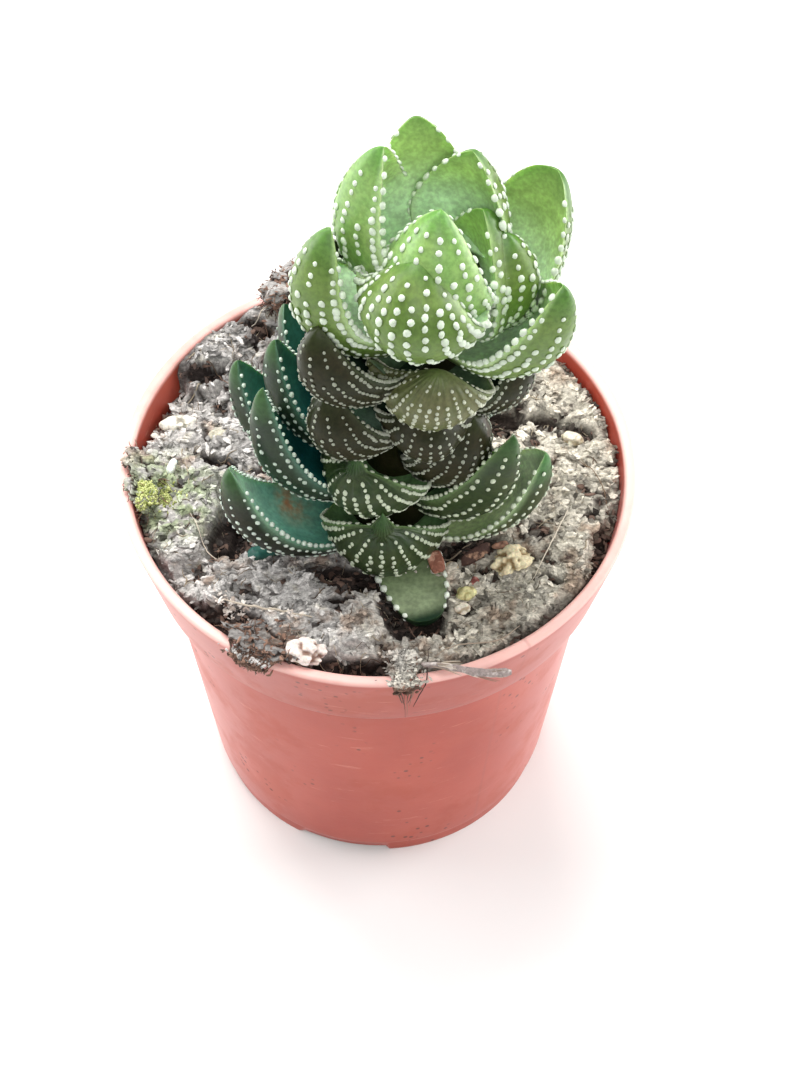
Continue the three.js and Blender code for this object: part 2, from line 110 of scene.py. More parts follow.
def area_light(name, place, aim, size, watts, color=(1, 1, 1)):
    """A square lamp at a place, turned so that its -Z looks at the aim point."""
    lamp = bpy.data.objects.new(name, bpy.data.lights.new(name, "AREA"))
    lamp.data.energy = watts
    lamp.data.size = size
    lamp.data.color = color
    lamp.location = place
    lamp.rotation_euler = (Vector(aim) - Vector(place)).to_track_quat("-Z", "Y").to_euler()
    bpy.context.collection.objects.link(lamp)


PLANT_MIDDLE = (0, 0, 0.09)
SKY_COLOR, SKY_STRENGTH = (0.93, 0.97, 1.0, 1), 0.46
area_light("light_above", (-0.10, 0.28, 0.62), PLANT_MIDDLE, 0.45, 6.0, (1.0, 0.99, 0.96))
area_light("light_left", (-0.55, 0.16, 0.22), PLANT_MIDDLE, 0.40, 2.6)
area_light("light_right", (0.55, 0.14, 0.22), PLANT_MIDDLE, 0.40, 3.2)
area_light("light_front", (0.10, -0.50, 0.62), PLANT_MIDDLE, 0.50, 2.6, (1.0, 0.98, 0.95))

world = bpy.data.worlds.new("studio")
bpy.context.scene.world = world
world.use_nodes = True
sky = world.node_tree.nodes["Background"]
sky.inputs["Color"].default_value = SKY_COLOR
sky.inputs["Strength"].default_value = SKY_STRENGTH

# %% [markdown]
# ## Meshes from arrays
# Every piece below is a grid of points that numpy works out at once. A ring grid closes on itself
# across and is shut at both ends with a fan of triangles, so each piece is a closed body.

# %% Turn arrays into pieces


def make_piece(name, points, faces, attributes=None, smooth=True):
    """A mesh from points in mm, a list of face arrays (triangles and quads) and point attributes."""
    mesh = bpy.data.meshes.new(name)
    points = np.asarray(points, dtype=np.float32).reshape(-1, 3) * MM
    mesh.vertices.add(len(points))
    mesh.vertices.foreach_set("co", points.ravel())
    sizes = np.concatenate([np.full(len(f), f.shape[1]) for f in faces])
    corners = np.concatenate([f.ravel() for f in faces]).astype(np.int32)
    mesh.loops.add(len(corners))
    mesh.loops.foreach_set("vertex_index", corners)
    mesh.polygons.add(len(sizes))
    starts = np.concatenate([[0], np.cumsum(sizes)[:-1]]).astype(np.int32)
    mesh.polygons.foreach_set("loop_start", starts)
    mesh.update(calc_edges=True)
    mesh.validate()
    for key, values in (attributes or {}).items():
        layer = mesh.attributes.new(key, "FLOAT", "POINT")
        layer.data.foreach_set("value", np.asarray(values, dtype=np.float32).ravel())
    mesh.polygons.foreach_set("use_smooth", np.full(len(sizes), smooth))
    piece = bpy.data.objects.new(name, mesh)
    bpy.context.collection.objects.link(piece)
    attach(piece, "root")
    return piece


def ring_faces(rows, columns, shut=True):
    """Quads of a grid whose columns close on themselves, and fans about two extra end points."""
    i, j = np.meshgrid(np.arange(rows - 1), np.arange(columns), indexing="ij")
    next_j = (j + 1) % columns
    quads = np.stack([i * columns + j, i * columns + next_j,
                      (i + 1) * columns + next_j, (i + 1) * columns + j], -1).reshape(-1, 4)
    if not shut:
        return [quads]
    j = np.arange(columns)
    next_j = (j + 1) % columns
    last = (rows - 1) * columns
    first_fan = np.stack([np.full(columns, rows * columns), next_j, j], -1)
    last_fan = np.stack([np.full(columns, rows * columns + 1), last + j, last + next_j], -1)
    return [quads, np.concatenate([first_fan, last_fan])]


def repeated(faces, count, points_each):
    """The same faces for each of count copies, whose points follow one another in one array."""
    start = (np.arange(count) * points_each)[:, None, None]
    return (start + faces[None]).reshape(-1, faces.shape[1])


def ring_piece(name, rings, attributes=None):
    """A closed piece from rings of points (rows, columns, 3); attributes have one value a point."""
    rows, columns = rings.shape[:2]
    ends = np.stack([rings[0].mean(0), rings[-1].mean(0)])
    points = np.concatenate([rings.reshape(-1, 3), ends])
    padded = {}
    for key, values in (attributes or {}).items():
        values = np.broadcast_to(values, (rows, columns))
        padded[key] = np.concatenate([values.ravel(), [values[0].mean(), values[-1].mean()]])
    return make_piece(name, points, ring_faces(rows, columns), padded)


def polar(azimuth, radius, z):
    """Points at an azimuth in degrees (0 is the front, 90 the right), a radius and a height."""
    a = np.radians(azimuth)
    return np.stack(np.broadcast_arrays(radius * np.sin(a), -radius * np.cos(a), z), -1)


def unit(a):
    """Vectors divided by their length."""
    return a / (np.linalg.norm(a, axis=-1, keepdims=True) + 1e-9)


def turn_about_z(degrees):
    """The matrix that turns x, y, z about the upright axis."""
    c, s = math.cos(math.radians(degrees)), math.sin(math.radians(degrees))
    return np.array([[c, -s, 0], [s, c, 0], [0, 0, 1]])


def smoothstep(low, high, x):
    """0 below low, 1 above high, and 3t^2 - 2t^3 between them; low may be above high."""
    t = np.clip((x - low) / (high - low), 0, 1)
    return t * t * (3 - 2 * t)


# %% [markdown]
# ## Noise
# Soil, stones and skin need roughness of many sizes. Value noise gives each corner of a cubic
# lattice a fixed random value, found by mixing the bits of its coordinates, and blends between the
# corners. Layers of it at doubling frequency make a natural roughness.

# %% Value noise on arrays


def corner_value(i, j, k, seed):
    """A fixed value from -1 to 1 for each lattice corner: its coordinates multiplied and mixed."""
    n = (i * 374761393 + j * 668265263 + k * 1440662683 + seed * 1274126177) & 0xFFFFFFFF
    n = ((n ^ (n >> 13)) * 1274126177) & 0xFFFFFFFF
    return ((n ^ (n >> 16)) & 0xFFFFFF) / 0x7FFFFF - 1.0


def value_noise(points, size, seed):
    """Value noise of points (..., 3) with cells of the given size, from -1 to 1."""
    p = np.asarray(points, dtype=np.float64) / size
    base = np.floor(p).astype(np.int64)
    f = p - base
    f = f * f * (3 - 2 * f)
    total = 0.0
    for di in (0, 1):
        for dj in (0, 1):
            for dk in (0, 1):
                weight = (np.where(di, f[..., 0], 1 - f[..., 0])
                          * np.where(dj, f[..., 1], 1 - f[..., 1])
                          * np.where(dk, f[..., 2], 1 - f[..., 2]))
                total = total + weight * corner_value(
                    base[..., 0] + di, base[..., 1] + dj, base[..., 2] + dk, seed)
    return total


def rough_noise(points, size, layers, seed, fade=0.55):
    """A sum of value noise whose size halves and whose strength fades with each layer."""
    total = 0.0
    for layer in range(layers):
        total = total + fade ** layer * value_noise(points, size / 2 ** layer, seed + 17 * layer)
    return total


probe = rough_noise(np.random.default_rng(1).uniform(-40, 40, (1000, 3)), 8, 4, 5)
print("noise runs from", round(float(probe.min()), 2), "to", round(float(probe.max()), 2))

# %% [markdown]
# ## Shader helpers
# Materials are node trees. Small helpers keep them readable: one adds a node and fills or links its
# sockets, and the others blend two colours by a mask, shade a colour by a tone, multiply two values
# or map a range. Effects that several materials share become node groups with named sockets.

# %% Build node trees
# Sockets of the mix node: its factor, its two colours and the colour it gives
MIX_FACTOR, MIX_LOW, MIX_HIGH, MIX_RESULT = 0, 6, 7, 2


def add_node(tree, kind, inputs=None, **settings):
    """Adds a node; an input given as a socket is linked and any other value is set."""
    node = tree.nodes.new(kind)
    for key, value in settings.items():
        setattr(node, key, value)
    for key, value in (inputs or {}).items():
        if isinstance(value, bpy.types.NodeSocket):
            tree.links.new(value, node.inputs[key])
        else:
            node.inputs[key].default_value = value
    return node


def blend(tree, low, high, factor, mode="MIX"):
    """The colour that goes from low to high as the factor goes from 0 to 1."""
    node = add_node(tree, "ShaderNodeMix", {MIX_FACTOR: factor, MIX_LOW: low, MIX_HIGH: high},
                    data_type="RGBA", blend_type=mode)
    return node.outputs[MIX_RESULT]


def shaded(tree, color, tone):
    """A colour multiplied by a tone; a tone of 1 leaves it as it is."""
    return blend(tree, color, tone, 1.0, "MULTIPLY")


def reach(tree, value, low, high, to_low=0.0, to_high=1.0):
    """Maps a value from one range to another, smoothly, and holds it at the ends."""
    node = add_node(tree, "ShaderNodeMapRange", {
        "Value": value, "From Min": low, "From Max": high, "To Min": to_low, "To Max": to_high},
        interpolation_type="SMOOTHSTEP")
    return node.outputs["Result"]


def maths(tree, operation, first, second=0.0):
    """One arithmetic step on two values."""
    return add_node(tree, "ShaderNodeMath", {0: first, 1: second}, operation=operation).outputs[0]


def times(tree, first, second):
    """The product of two values."""
    return maths(tree, "MULTIPLY", first, second)


def object_place(tree):
    """Where a point lies on its object, in metres."""
    return add_node(tree, "ShaderNodeTexCoord").outputs["Object"]


def one_axis(tree, vector, axis):
    """The X, Y or Z part of a vector."""
    return add_node(tree, "ShaderNodeSeparateXYZ", {"Vector": vector}).outputs[axis]


def noise(tree, size, detail=4.0, roughness=0.55, stretch=(1, 1, 1), offset=(0, 0, 0)):
    """Noise on object coordinates; size is that of its largest spots, in mm."""
    scaled = add_node(tree, "ShaderNodeMapping", {
        "Vector": object_place(tree), "Scale": stretch, "Location": offset}).outputs[0]
    node = add_node(tree, "ShaderNodeTexNoise", {
        "Vector": scaled, "Scale": 1 / (size * MM), "Detail": detail, "Roughness": roughness})
    return node.outputs["Fac"]


def attribute(tree, name):
    """A value that the mesh holds for each point."""
    return add_node(tree, "ShaderNodeAttribute", attribute_name=name).outputs["Fac"]


def new_group(name, inputs, outputs):
    """A shader node group with named sockets, given as (name, kind, start value)."""
    tree = bpy.data.node_groups.new(name, "ShaderNodeTree")
    for label, kind, start in inputs:
        socket = tree.interface.new_socket(label, in_out="INPUT", socket_type="NodeSocket" + kind)
        socket.default_value = start
    for label, kind in outputs:
        tree.interface.new_socket(label, in_out="OUTPUT", socket_type="NodeSocket" + kind)
    return tree, tree.nodes.new("NodeGroupInput"), tree.nodes.new("NodeGroupOutput")


def use_group(tree, group, inputs):
    """Places a group in a material with its own values."""
    return add_node(tree, "ShaderNodeGroup", inputs, node_tree=group)


def new_material(name):
    """An empty material: its tree and its Principled shader."""
    material = bpy.data.materials.new(name)
    material.use_nodes = True
    return material, material.node_tree, material.node_tree.nodes["Principled BSDF"]


def bump(tree, height, strength, distance_mm):
    """A normal from a height; the distance is how far the height 1 stands out."""
    node = add_node(tree, "ShaderNodeBump", {
        "Strength": strength, "Distance": distance_mm * MM, "Height": height})
    return node.outputs["Normal"]


def linear(red, green, blue):
    """A colour given as 0 to 255 sRGB, as seen in a picture, in the linear values of a socket.

    With c from 0 to 1 it is c / 12.92 near black and ((c + 0.055) / 1.055)^2.4 above that.
    """
    parts = [c / 255 for c in (red, green, blue)]
    return tuple(c / 12.92 if c < 0.04045 else ((c + 0.055) / 1.055) ** 2.4 for c in parts) + (1.0,)


# %% [markdown]
# ## Leaf shape
# A leaf is thick flesh between two faces: a shallow hollow face towards the stem and a rounded back.
# Its midrib is a quadratic curve from the stem through a belly point to the tip. A point on the leaf
# has two parameters: s runs from root to tip, and u from margin to margin.

# %% Where each leaf grows
STEM_X, STEM_Y, STEM_LEAN, STEM_SOIL_Z = 1.0, -6.5, 0.165, 72.0
LEAF_ROOT = 3.0
LEAF_CUP = 0.25
MUCRO_WIDTH = 0.16
UP = np.array([0.0, 0.0, 1.0])

# Name, skin, height of the root above the mix, azimuth, belly and tip as (out, up) from the root,
# half width, thickness, and what is special about the leaf.
FRONT_LEAVES = [
    ("front_flat", "flat", 1, 16, (13, 0.5), (23.6, 0.6), 5.7, 5, {"cup": 0.05, "full": 0.36, "stub": 12}),
    ("low_left", "low_left", 3, -65, (23.5, 0), (26.5, 22.6), 7.2, 5.5,
     {"full": 0.58, "blot": (-0.5, 0.38)}),
    ("low_front", "low", 4, -4, (17, -1), (14.8, 15.6), 10.7, 5,
     {"ridged": 1, "cup": 0.42, "full": 0.6, "mucro": 0.12}),
    ("low_right", "low_right", 4, 74, (21, -1), (25, 20), 7, 5, {"cup": 0.5, "full": 0.6, "roll": 18}),
    ("second_right", "low", 11, 58, (17.5, -1), (20.5, 22.5), 7, 4.5, {"cup": 0.45, "roll": -10}),
    ("second_far_left", "teal", 12, -102, (22, -1), (25, 20), 6.5, 5.5, {}),
    ("second_left", "teal", 15, -72, (20.5, -2), (21.5, 25), 6.5, 5.5, {}),
    ("second_front", "low", 18, -33, (16, -2), (13.2, 11.6), 10.2, 5,
     {"ridged": 1, "cup": 0.45, "full": 0.6, "mucro": 0.12}),
    ("third_right", "olive", 21, 47, (13.5, -1), (12.5, 15.5), 8.3, 5, {"cup": 0.45, "roll": -8}),
    ("third_back_left", "teal", 21, -125, (17, -2), (23, 15), 6.5, 5.5, {}),
    ("third_left", "teal", 22, -95, (18, -3), (20, 19), 6.5, 5.5, {}),
    ("fourth_left", "olive", 30.5, -54, (18.5, -3), (16, 12), 8, 5, {"cup": 0.5, "roll": 6}),
    ("fourth_front", "olive", 34, 4, (15, -2), (12, 7.5), 8, 5, {"cup": 0.5}),
    ("fourth_right", "olive", 36, 75, (15, -2), (14, 10), 7, 5, {}),
    ("fifth_front", "upper", 42, -8, (15, -3), (10.8, 7.4), 10, 5,
     {"ridged": 1, "cup": 0.4, "roll": -10, "swing": 2.6}),
    ("fifth_left", "olive", 42.5, -62, (20, -3), (18.5, 13.5), 8.3, 5.5, {"cup": 0.5, "roll": 6}),
    ("crown_right", "crown", 47.5, 63, (17.5, -2), (19.3, 17.2), 8.5, 5.5, {"cup": 0.5, "roll": 5}),
    ("crown_back_right", "crown", 49, 117, (16, -1), (18.8, 21), 9, 5,
     {"cup": 0.45, "full": 0.36, "roll": 12}),
    ("crown_left", "crown", 49.5, -82, (22, -2), (15.8, 20), 8.5, 6,
     {"cup": 0.3, "full": 0.65, "roll": 6}),
    ("crown_inner_right", "crown", 53, 82, (12.5, 0), (8, 14.5), 7, 5, {}),
    ("crown_middle_right", "crown", 53, 92, (6.5, 0), (5.2, 17.8), 9.6, 6, {"cup": 0.25, "roll": 24}),
    ("crown_upper_left", "young", 57, -110, (17, 0), (10, 23), 8.5, 6, {"cup": 0.6, "roll": 4}),
    ("crown_top", "crown", 58, 205, (10, 4), (11.6, 20.8), 8, 5, {"cup": 0.15, "full": 0.6, "roll": -20}),
    ("crown_front", "crown", 58.5, -29, (18.5, -2), (7.9, 11), 11, 6.5, {"cup": 0.3, "roll": -1}),
    ("crown_upper_right", "crown", 60, 155, (7, 4), (6, 17), 8.6, 5,
     {"cup": 0.35, "full": 0.76, "roll": -10}),
    ("crown_heart", "young", 58.5, -26, (10.5, 0), (4, 16.5), 9.4, 6, {"cup": 0.2}),
]

# The leaves behind follow the spiral: three rows that turn a little as they climb.
BACK_ROWS = [(132, 8, 6, 5), (172, 8, 9, 5), (208, 4, 4, 4)]
BACK_STEP = 9.5
BACK_BELLY, BACK_TIP, BACK_WIDTH, BACK_THICKNESS = (19, -2), (19.5, 17.5), 7.8, 5
BACK_SPREAD_AZIMUTH, BACK_SPREAD_REACH, BACK_SPREAD_RISE, BACK_SPREAD_WIDTH = 5, 1.6, 1.8, 0.7


def even_draws(seed):
    """A seeded draw from -1 to 1: the state times 16807, modulo 2147483647."""
    state = seed
    while True:
        state = state * 16807 % 2147483647
        yield state / 2147483647 * 2 - 1


def back_leaves():
    """The hidden rows, drawn in the same order as the solids."""
    draw = even_draws(29)
    leaves = []
    for row, (azimuth, turn, height, count) in enumerate(BACK_ROWS):
        for i in range(count):
            reach_by = BACK_SPREAD_REACH * next(draw)
            h = height + BACK_STEP * i
            leaves.append((
                f"back_{row}_{i}", "teal" if h < 20 else "olive" if h < 44 else "crown", h,
                azimuth + turn * i + BACK_SPREAD_AZIMUTH * next(draw),
                (BACK_BELLY[0] + reach_by, BACK_BELLY[1]),
                (BACK_TIP[0] + reach_by, BACK_TIP[1] + BACK_SPREAD_RISE * next(draw)),
                BACK_WIDTH + BACK_SPREAD_WIDTH * next(draw), BACK_THICKNESS, {}))
    return leaves


class Leaf:
    """One leaf's formula: points, margins and directions on its two faces, in mm."""

    def __init__(self, name, skin, height, azimuth, belly, tip, half_width, thickness, special):
        self.name, self.skin = name, skin
        self.young = skin in ("crown", "young")
        self.behind = name.startswith("back_")
        self.half_width, self.thickness = half_width, thickness
        self.full = special.get("full", 0.75)
        self.cup = special.get("cup", LEAF_CUP)
        self.ridged = special.get("ridged", 0)
        self.roll = math.radians(special.get("roll", 0))
        self.swing = special.get("swing", 0)
        self.mucro = special.get("mucro", 0)
        self.stub = special.get("stub", 3)
        self.blot = special.get("blot")
        self.out = polar(azimuth, 1.0, 0.0)
        self.side = polar(azimuth + 90, 1.0, 0.0)
        self.root = np.array([STEM_X + STEM_LEAN * height, STEM_Y, STEM_SOIL_Z + height])
        self.curve = np.array([(LEAF_ROOT, 0.0), belly, tip], dtype=float)

    def in_space(self, flat):
        """Pairs (out, up) as points in space: out along the leaf's azimuth, and up along z."""
        return flat[..., :1] * self.out + flat[..., 1:] * UP

    def frame_at(self, s):
        """Centre, across, inward and along directions at s.

        The centre is on the curve (1-s)^2 a + 2s(1-s) b + s^2 c; along is its tangent, inward its
        normal, and both sides turn about it by the roll.
        """
        a, b, c = self.curve
        s = np.asarray(s, dtype=float)[..., None]
        flat = (1 - s) ** 2 * a + 2 * s * (1 - s) * b + s ** 2 * c
        tangent = 2 * (1 - s) * (b - a) + 2 * s * (c - b)
        tangent /= np.linalg.norm(tangent, axis=-1, keepdims=True)
        normal = self.in_space(np.stack([-tangent[..., 1], tangent[..., 0]], -1))
        across = self.side * math.cos(self.roll) + normal * math.sin(self.roll)
        inward = normal * math.cos(self.roll) - self.side * math.sin(self.roll)
        centre = self.root + self.in_space(flat) + self.swing * s ** 2 * self.side
        return centre, across, inward, self.in_space(tangent)

    def taper(self, s, power, sharp=3):
        """(1 - q^sharp)^power, where q is s over the part of the length that isn't the mucro."""
        q = np.clip(s / (1 - self.mucro), 0, 1)
        return (1 - q ** sharp) ** power

    def spike(self, s):
        """Half width of the mucro, the thin point past the leaf's body."""
        if not self.mucro:
            return 0.0 * s
        return MUCRO_WIDTH * self.half_width * np.clip((1 - s) / self.mucro, 0, 1) * (s > 0.5)

    def width_at(self, s):
        """Half width: three quarters at the root, full at 0.45, and tapered to the tip."""
        shoulder = 0.75 + 0.25 * np.sin(np.pi / 2 * np.minimum(s / 0.45, 1))
        return np.maximum(self.half_width * shoulder * self.taper(s, self.full), self.spike(s))

    def depth_at(self, s):
        """Thickness in the middle: tapered to the tip, and a little less at the root."""
        shoulder = 0.9 + 0.1 * np.sin(np.pi / 2 * np.minimum(s / 0.4, 1))
        return np.maximum(self.thickness * shoulder * self.taper(s, 0.6, self.stub), self.spike(s))

    def point(self, u, s, back):
        """A point: u across, s along, back 1 on the rounded back and 0 on the hollow face.

        Both faces rise by cup * width * u^2 to the margins, and the back stands out by
        depth * (1 - |u|^2.2)^0.62.
        """
        u, s = np.broadcast_arrays(np.asarray(u, float), np.asarray(s, float))
        centre, across, inward, _ = self.frame_at(s)
        width = self.width_at(s)[..., None]
        depth = self.depth_at(s)[..., None]
        u = u[..., None]
        section = np.maximum(1 - np.abs(u) ** 2.2, 0) ** 0.62
        return centre + across * width * u + inward * (self.cup * width * u ** 2 - back * depth * section)


leaves = [Leaf(*row) for row in FRONT_LEAVES + back_leaves()]
print(len(leaves), "leaves,", len(FRONT_LEAVES), "of them seen from the front")

# %% [markdown]
# ## Leaf skins
# The old leaves near the mix are dark green with a grey teal inner face, the middle ones have gone
# olive brown, and the young crown is a fresh green with a pale, almost minty inner face. One node
# group mixes these from what the mesh knows: how far along the leaf a point is, which face it lies
# on, and how near it is to a margin.

# %% The skin as a node group
SKIN_PARTS = ["Back", "Inner", "Inner Root", "Tip", "Margin", "Stain"]
BLOT_COLOR = linear(164, 108, 70)


def leaf_skin_group():
    """Mixes back, inner face, margin and tip colours, with mottling, fine streaks and painted shade near
    the root.
    """
    tree, given, result = new_group(
        "leaf_skin", [(name, "Color", (0, 0, 0, 1)) for name in SKIN_PARTS]
        + [("Tip Share", "Float", 0.5), ("Root Shade", "Float", 0.6)],
        [("Color", "Color"), ("Roughness", "Float"), ("Height", "Float")])
    along, face, edge = attribute(tree, "along"), attribute(tree, "inner"), attribute(tree, "margin")
    mottle = reach(tree, noise(tree, 4.0, 3.0), 0.35, 0.68)
    outer_part = reach(tree, along, 0.45, 0.85)
    inner = blend(tree, given.outputs["Inner Root"], given.outputs["Inner"], outer_part)
    body = blend(tree, given.outputs["Back"], given.outputs["Stain"], times(tree, mottle, 0.55))
    # Painted shade: the back darkens towards the root, where the leaves crowd over one another.
    shade = maths(tree, "ADD", given.outputs["Root Shade"], reach(tree, along, 0.15, 0.6))
    body = shaded(tree, body, maths(tree, "MINIMUM", shade, 1.0))
    tip = times(tree, reach(tree, along, 0.84, 1.0), given.outputs["Tip Share"])
    body = blend(tree, body, given.outputs["Tip"], tip)
    patch = reach(tree, noise(tree, 3.0, 2.0, offset=(4, 1, 7)), 0.3, 0.7, 0.82, 1.1)
    inner = shaded(tree, inner, patch)
    inner = blend(tree, inner, given.outputs["Tip"], times(tree, tip, 0.6))
    body = blend(tree, body, inner, reach(tree, face, 0.35, 0.65))
    body = blend(tree, body, given.outputs["Margin"], times(tree, edge, 0.5))
    blot = times(tree, attribute(tree, "blot"), reach(tree, noise(tree, 1.6, 3.0), 0.15, 0.75))
    body = blend(tree, body, BLOT_COLOR, blot)
    fine = noise(tree, 0.7, 2.0)
    shade = reach(tree, fine, 0.3, 0.7, 0.84, 1.14)
    body = shaded(tree, body, shade)
    tree.links.new(body, result.inputs["Color"])
    tree.links.new(reach(tree, mottle, 0.0, 1.0, 0.34, 0.5), result.inputs["Roughness"])
    tree.links.new(maths(tree, "ADD", fine, noise(tree, 2.2, 3.0)), result.inputs["Height"])
    return tree


leaf_skin = leaf_skin_group()

# Back, inner face and inner root, then tip, margin and stain, as seen in a picture.
SKINS = {
    "crown": [(90, 118, 48), (166, 202, 114), (196, 228, 186),
              (74, 118, 46), (176, 200, 142), (112, 136, 64)],
    "young": [(124, 164, 88), (190, 222, 140), (206, 234, 202),
              (82, 134, 56), (190, 214, 160), (146, 172, 98)],
    "upper": [(92, 98, 60), (104, 124, 76), (80, 104, 76),
              (92, 110, 60), (120, 126, 90), (104, 100, 70)],
    "olive": [(36, 38, 20), (58, 74, 46), (50, 72, 56),
              (46, 56, 28), (64, 68, 50), (52, 46, 30)],
    "low": [(42, 60, 30), (150, 192, 120), (110, 150, 98),
            (56, 92, 44), (96, 118, 74), (62, 72, 38)],
    "low_right": [(42, 60, 30), (214, 234, 196), (196, 220, 160),
                  (70, 120, 62), (150, 176, 126), (62, 72, 38)],
    "teal": [(29, 44, 30), (60, 128, 108), (20, 84, 82),
             (66, 102, 56), (84, 120, 100), (52, 66, 46)],
    "flat": [(28, 54, 34), (142, 156, 122), (116, 134, 96),
             (26, 50, 32), (60, 84, 50), (52, 70, 40)],
    "low_left": [(28, 36, 25), (170, 212, 182), (104, 168, 148),
                 (54, 88, 44), (120, 160, 130), (42, 48, 32)],
}
# Top of the tubercles on each skin
DOTS = {
    "crown": (206, 218, 198), "young": (214, 226, 206), "upper": (190, 194, 172),
    "olive": (150, 154, 138), "low": (196, 206, 180), "low_right": (206, 216, 192),
    "teal": (190, 206, 190), "flat": (228, 236, 220), "low_left": (206, 220, 206),
}
# Gloss, light in the flesh, tip colour share and how bright the painted shade near the root is, for each
# skin
SKIN_LOOKS = {
    "crown": (0.45, 0.25, 0.85, 0.8), "young": (0.4, 0.25, 0.8, 0.9), "upper": (0.3, 0.1, 0.6, 0.75),
    "olive": (0.14, 0.05, 0.6, 0.5), "low": (0.3, 0.1, 0.8, 0.55), "low_right": (0.3, 0.15, 0.8, 0.6),
    "teal": (0.3, 0.1, 0.8, 0.55), "flat": (0.3, 0.1, 1.8, 0.8), "low_left": (0.3, 0.15, 0.8, 0.6),
}


def skin_material(skin):
    """The shared skin with one tier's colours, over flesh that lets a little light through."""
    material, tree, shader = new_material("leaf_" + skin)
    inputs = {name: linear(*color) for name, color in zip(SKIN_PARTS, SKINS[skin])}
    gloss, light, tip_share, root_shade = SKIN_LOOKS[skin]
    group = use_group(tree, leaf_skin, inputs | {"Tip Share": tip_share, "Root Shade": root_shade})
    tree.links.new(group.outputs["Color"], shader.inputs["Base Color"])
    tree.links.new(group.outputs["Roughness"], shader.inputs["Roughness"])
    tree.links.new(bump(tree, group.outputs["Height"], 0.25, 0.15), shader.inputs["Normal"])
    shader.inputs["Subsurface Weight"].default_value = light
    shader.inputs["Subsurface Radius"].default_value = (0.35, 0.6, 0.15)
    shader.inputs["Subsurface Scale"].default_value = 0.003
    shader.inputs["Specular IOR Level"].default_value = gloss
    return material


def tubercle_material(skin):
    """Pearly white on top, going over to the leaf's own green at the foot."""
    material, tree, shader = new_material("tubercle_" + skin)
    top = reach(tree, attribute(tree, "lift"), -0.1, 0.45)
    color = blend(tree, linear(*SKINS[skin][0]), linear(*DOTS[skin]), top)
    tone = reach(tree, noise(tree, 1.5, 2.0), 0.3, 0.7, 0.82, 1.05)
    tree.links.new(shaded(tree, color, tone), shader.inputs["Base Color"])
    tree.links.new(reach(tree, noise(tree, 0.5), 0.3, 0.7, 0.38, 0.6), shader.inputs["Roughness"])
    shader.inputs["Subsurface Weight"].default_value = 0.2
    shader.inputs["Subsurface Radius"].default_value = (0.5, 0.6, 0.4)
    shader.inputs["Subsurface Scale"].default_value = 0.0012
    return material


skin_materials = {skin: skin_material(skin) for skin in SKINS}
tubercle_materials = {skin: tubercle_material(skin) for skin in SKINS}
print("skins:", ", ".join(SKINS))

# %% [markdown]
# ## Leaf flesh
# The flesh is one ring grid: the back from margin to margin and then the inner face on the way home.
# Three broad leaves have low ridges that fan out from the tip, one under each row of tubercles.

# %% Grow the leaves
BACK_COLUMNS, RIDGED_COLUMNS, INNER_COLUMNS, LEAF_ROWS = 34, 84, 12, 40
FAR_COLUMNS, FAR_ROWS = 24, 30
ROW_CROWDING, LAST_ROW = 1.7, 0.9995
SKIN_ROUGHNESS = 0.10
RIDGE_HEIGHT = 0.14
BLOT_HALF_WIDTH, BLOT_HALF_LENGTH = 0.5, 0.09

# Row spacing, pitch in a row, radius, pitch along the margin and radius there, in mm.
DOT_PLANS = {
    "crown": (2.3, 1.85, 0.56, 2.2, 0.56), "young": (2.3, 1.85, 0.56, 2.2, 0.56),
    "upper": (1.7, 1.05, 0.36, 1.1, 0.34), "olive": (1.75, 1.3, 0.34, 1.35, 0.34),
    "low": (2.2, 1.9, 0.46, 1.7, 0.42), "low_right": (2.2, 1.9, 0.48, 1.8, 0.46),
    "teal": (2.1, 1.75, 0.41, 1.65, 0.41), "low_left": (2.2, 1.85, 0.42, 1.7, 0.42),
    "ridged": (2.1, 1.1, 0.41, 1.3, 0.4), "flat": (2.6, 2.4, 0.42, 2.0, 0.62),
}


def dot_plan(leaf):
    """The plan of a leaf, and how many rows fit on its back: half an ellipse over the spacing."""
    plan = DOT_PLANS["ridged" if leaf.ridged and leaf.skin == "low" else leaf.skin]
    arc = math.pi * math.hypot(leaf.half_width, leaf.thickness) / math.sqrt(2)
    return plan, max(5, int(round(arc / plan[0])))


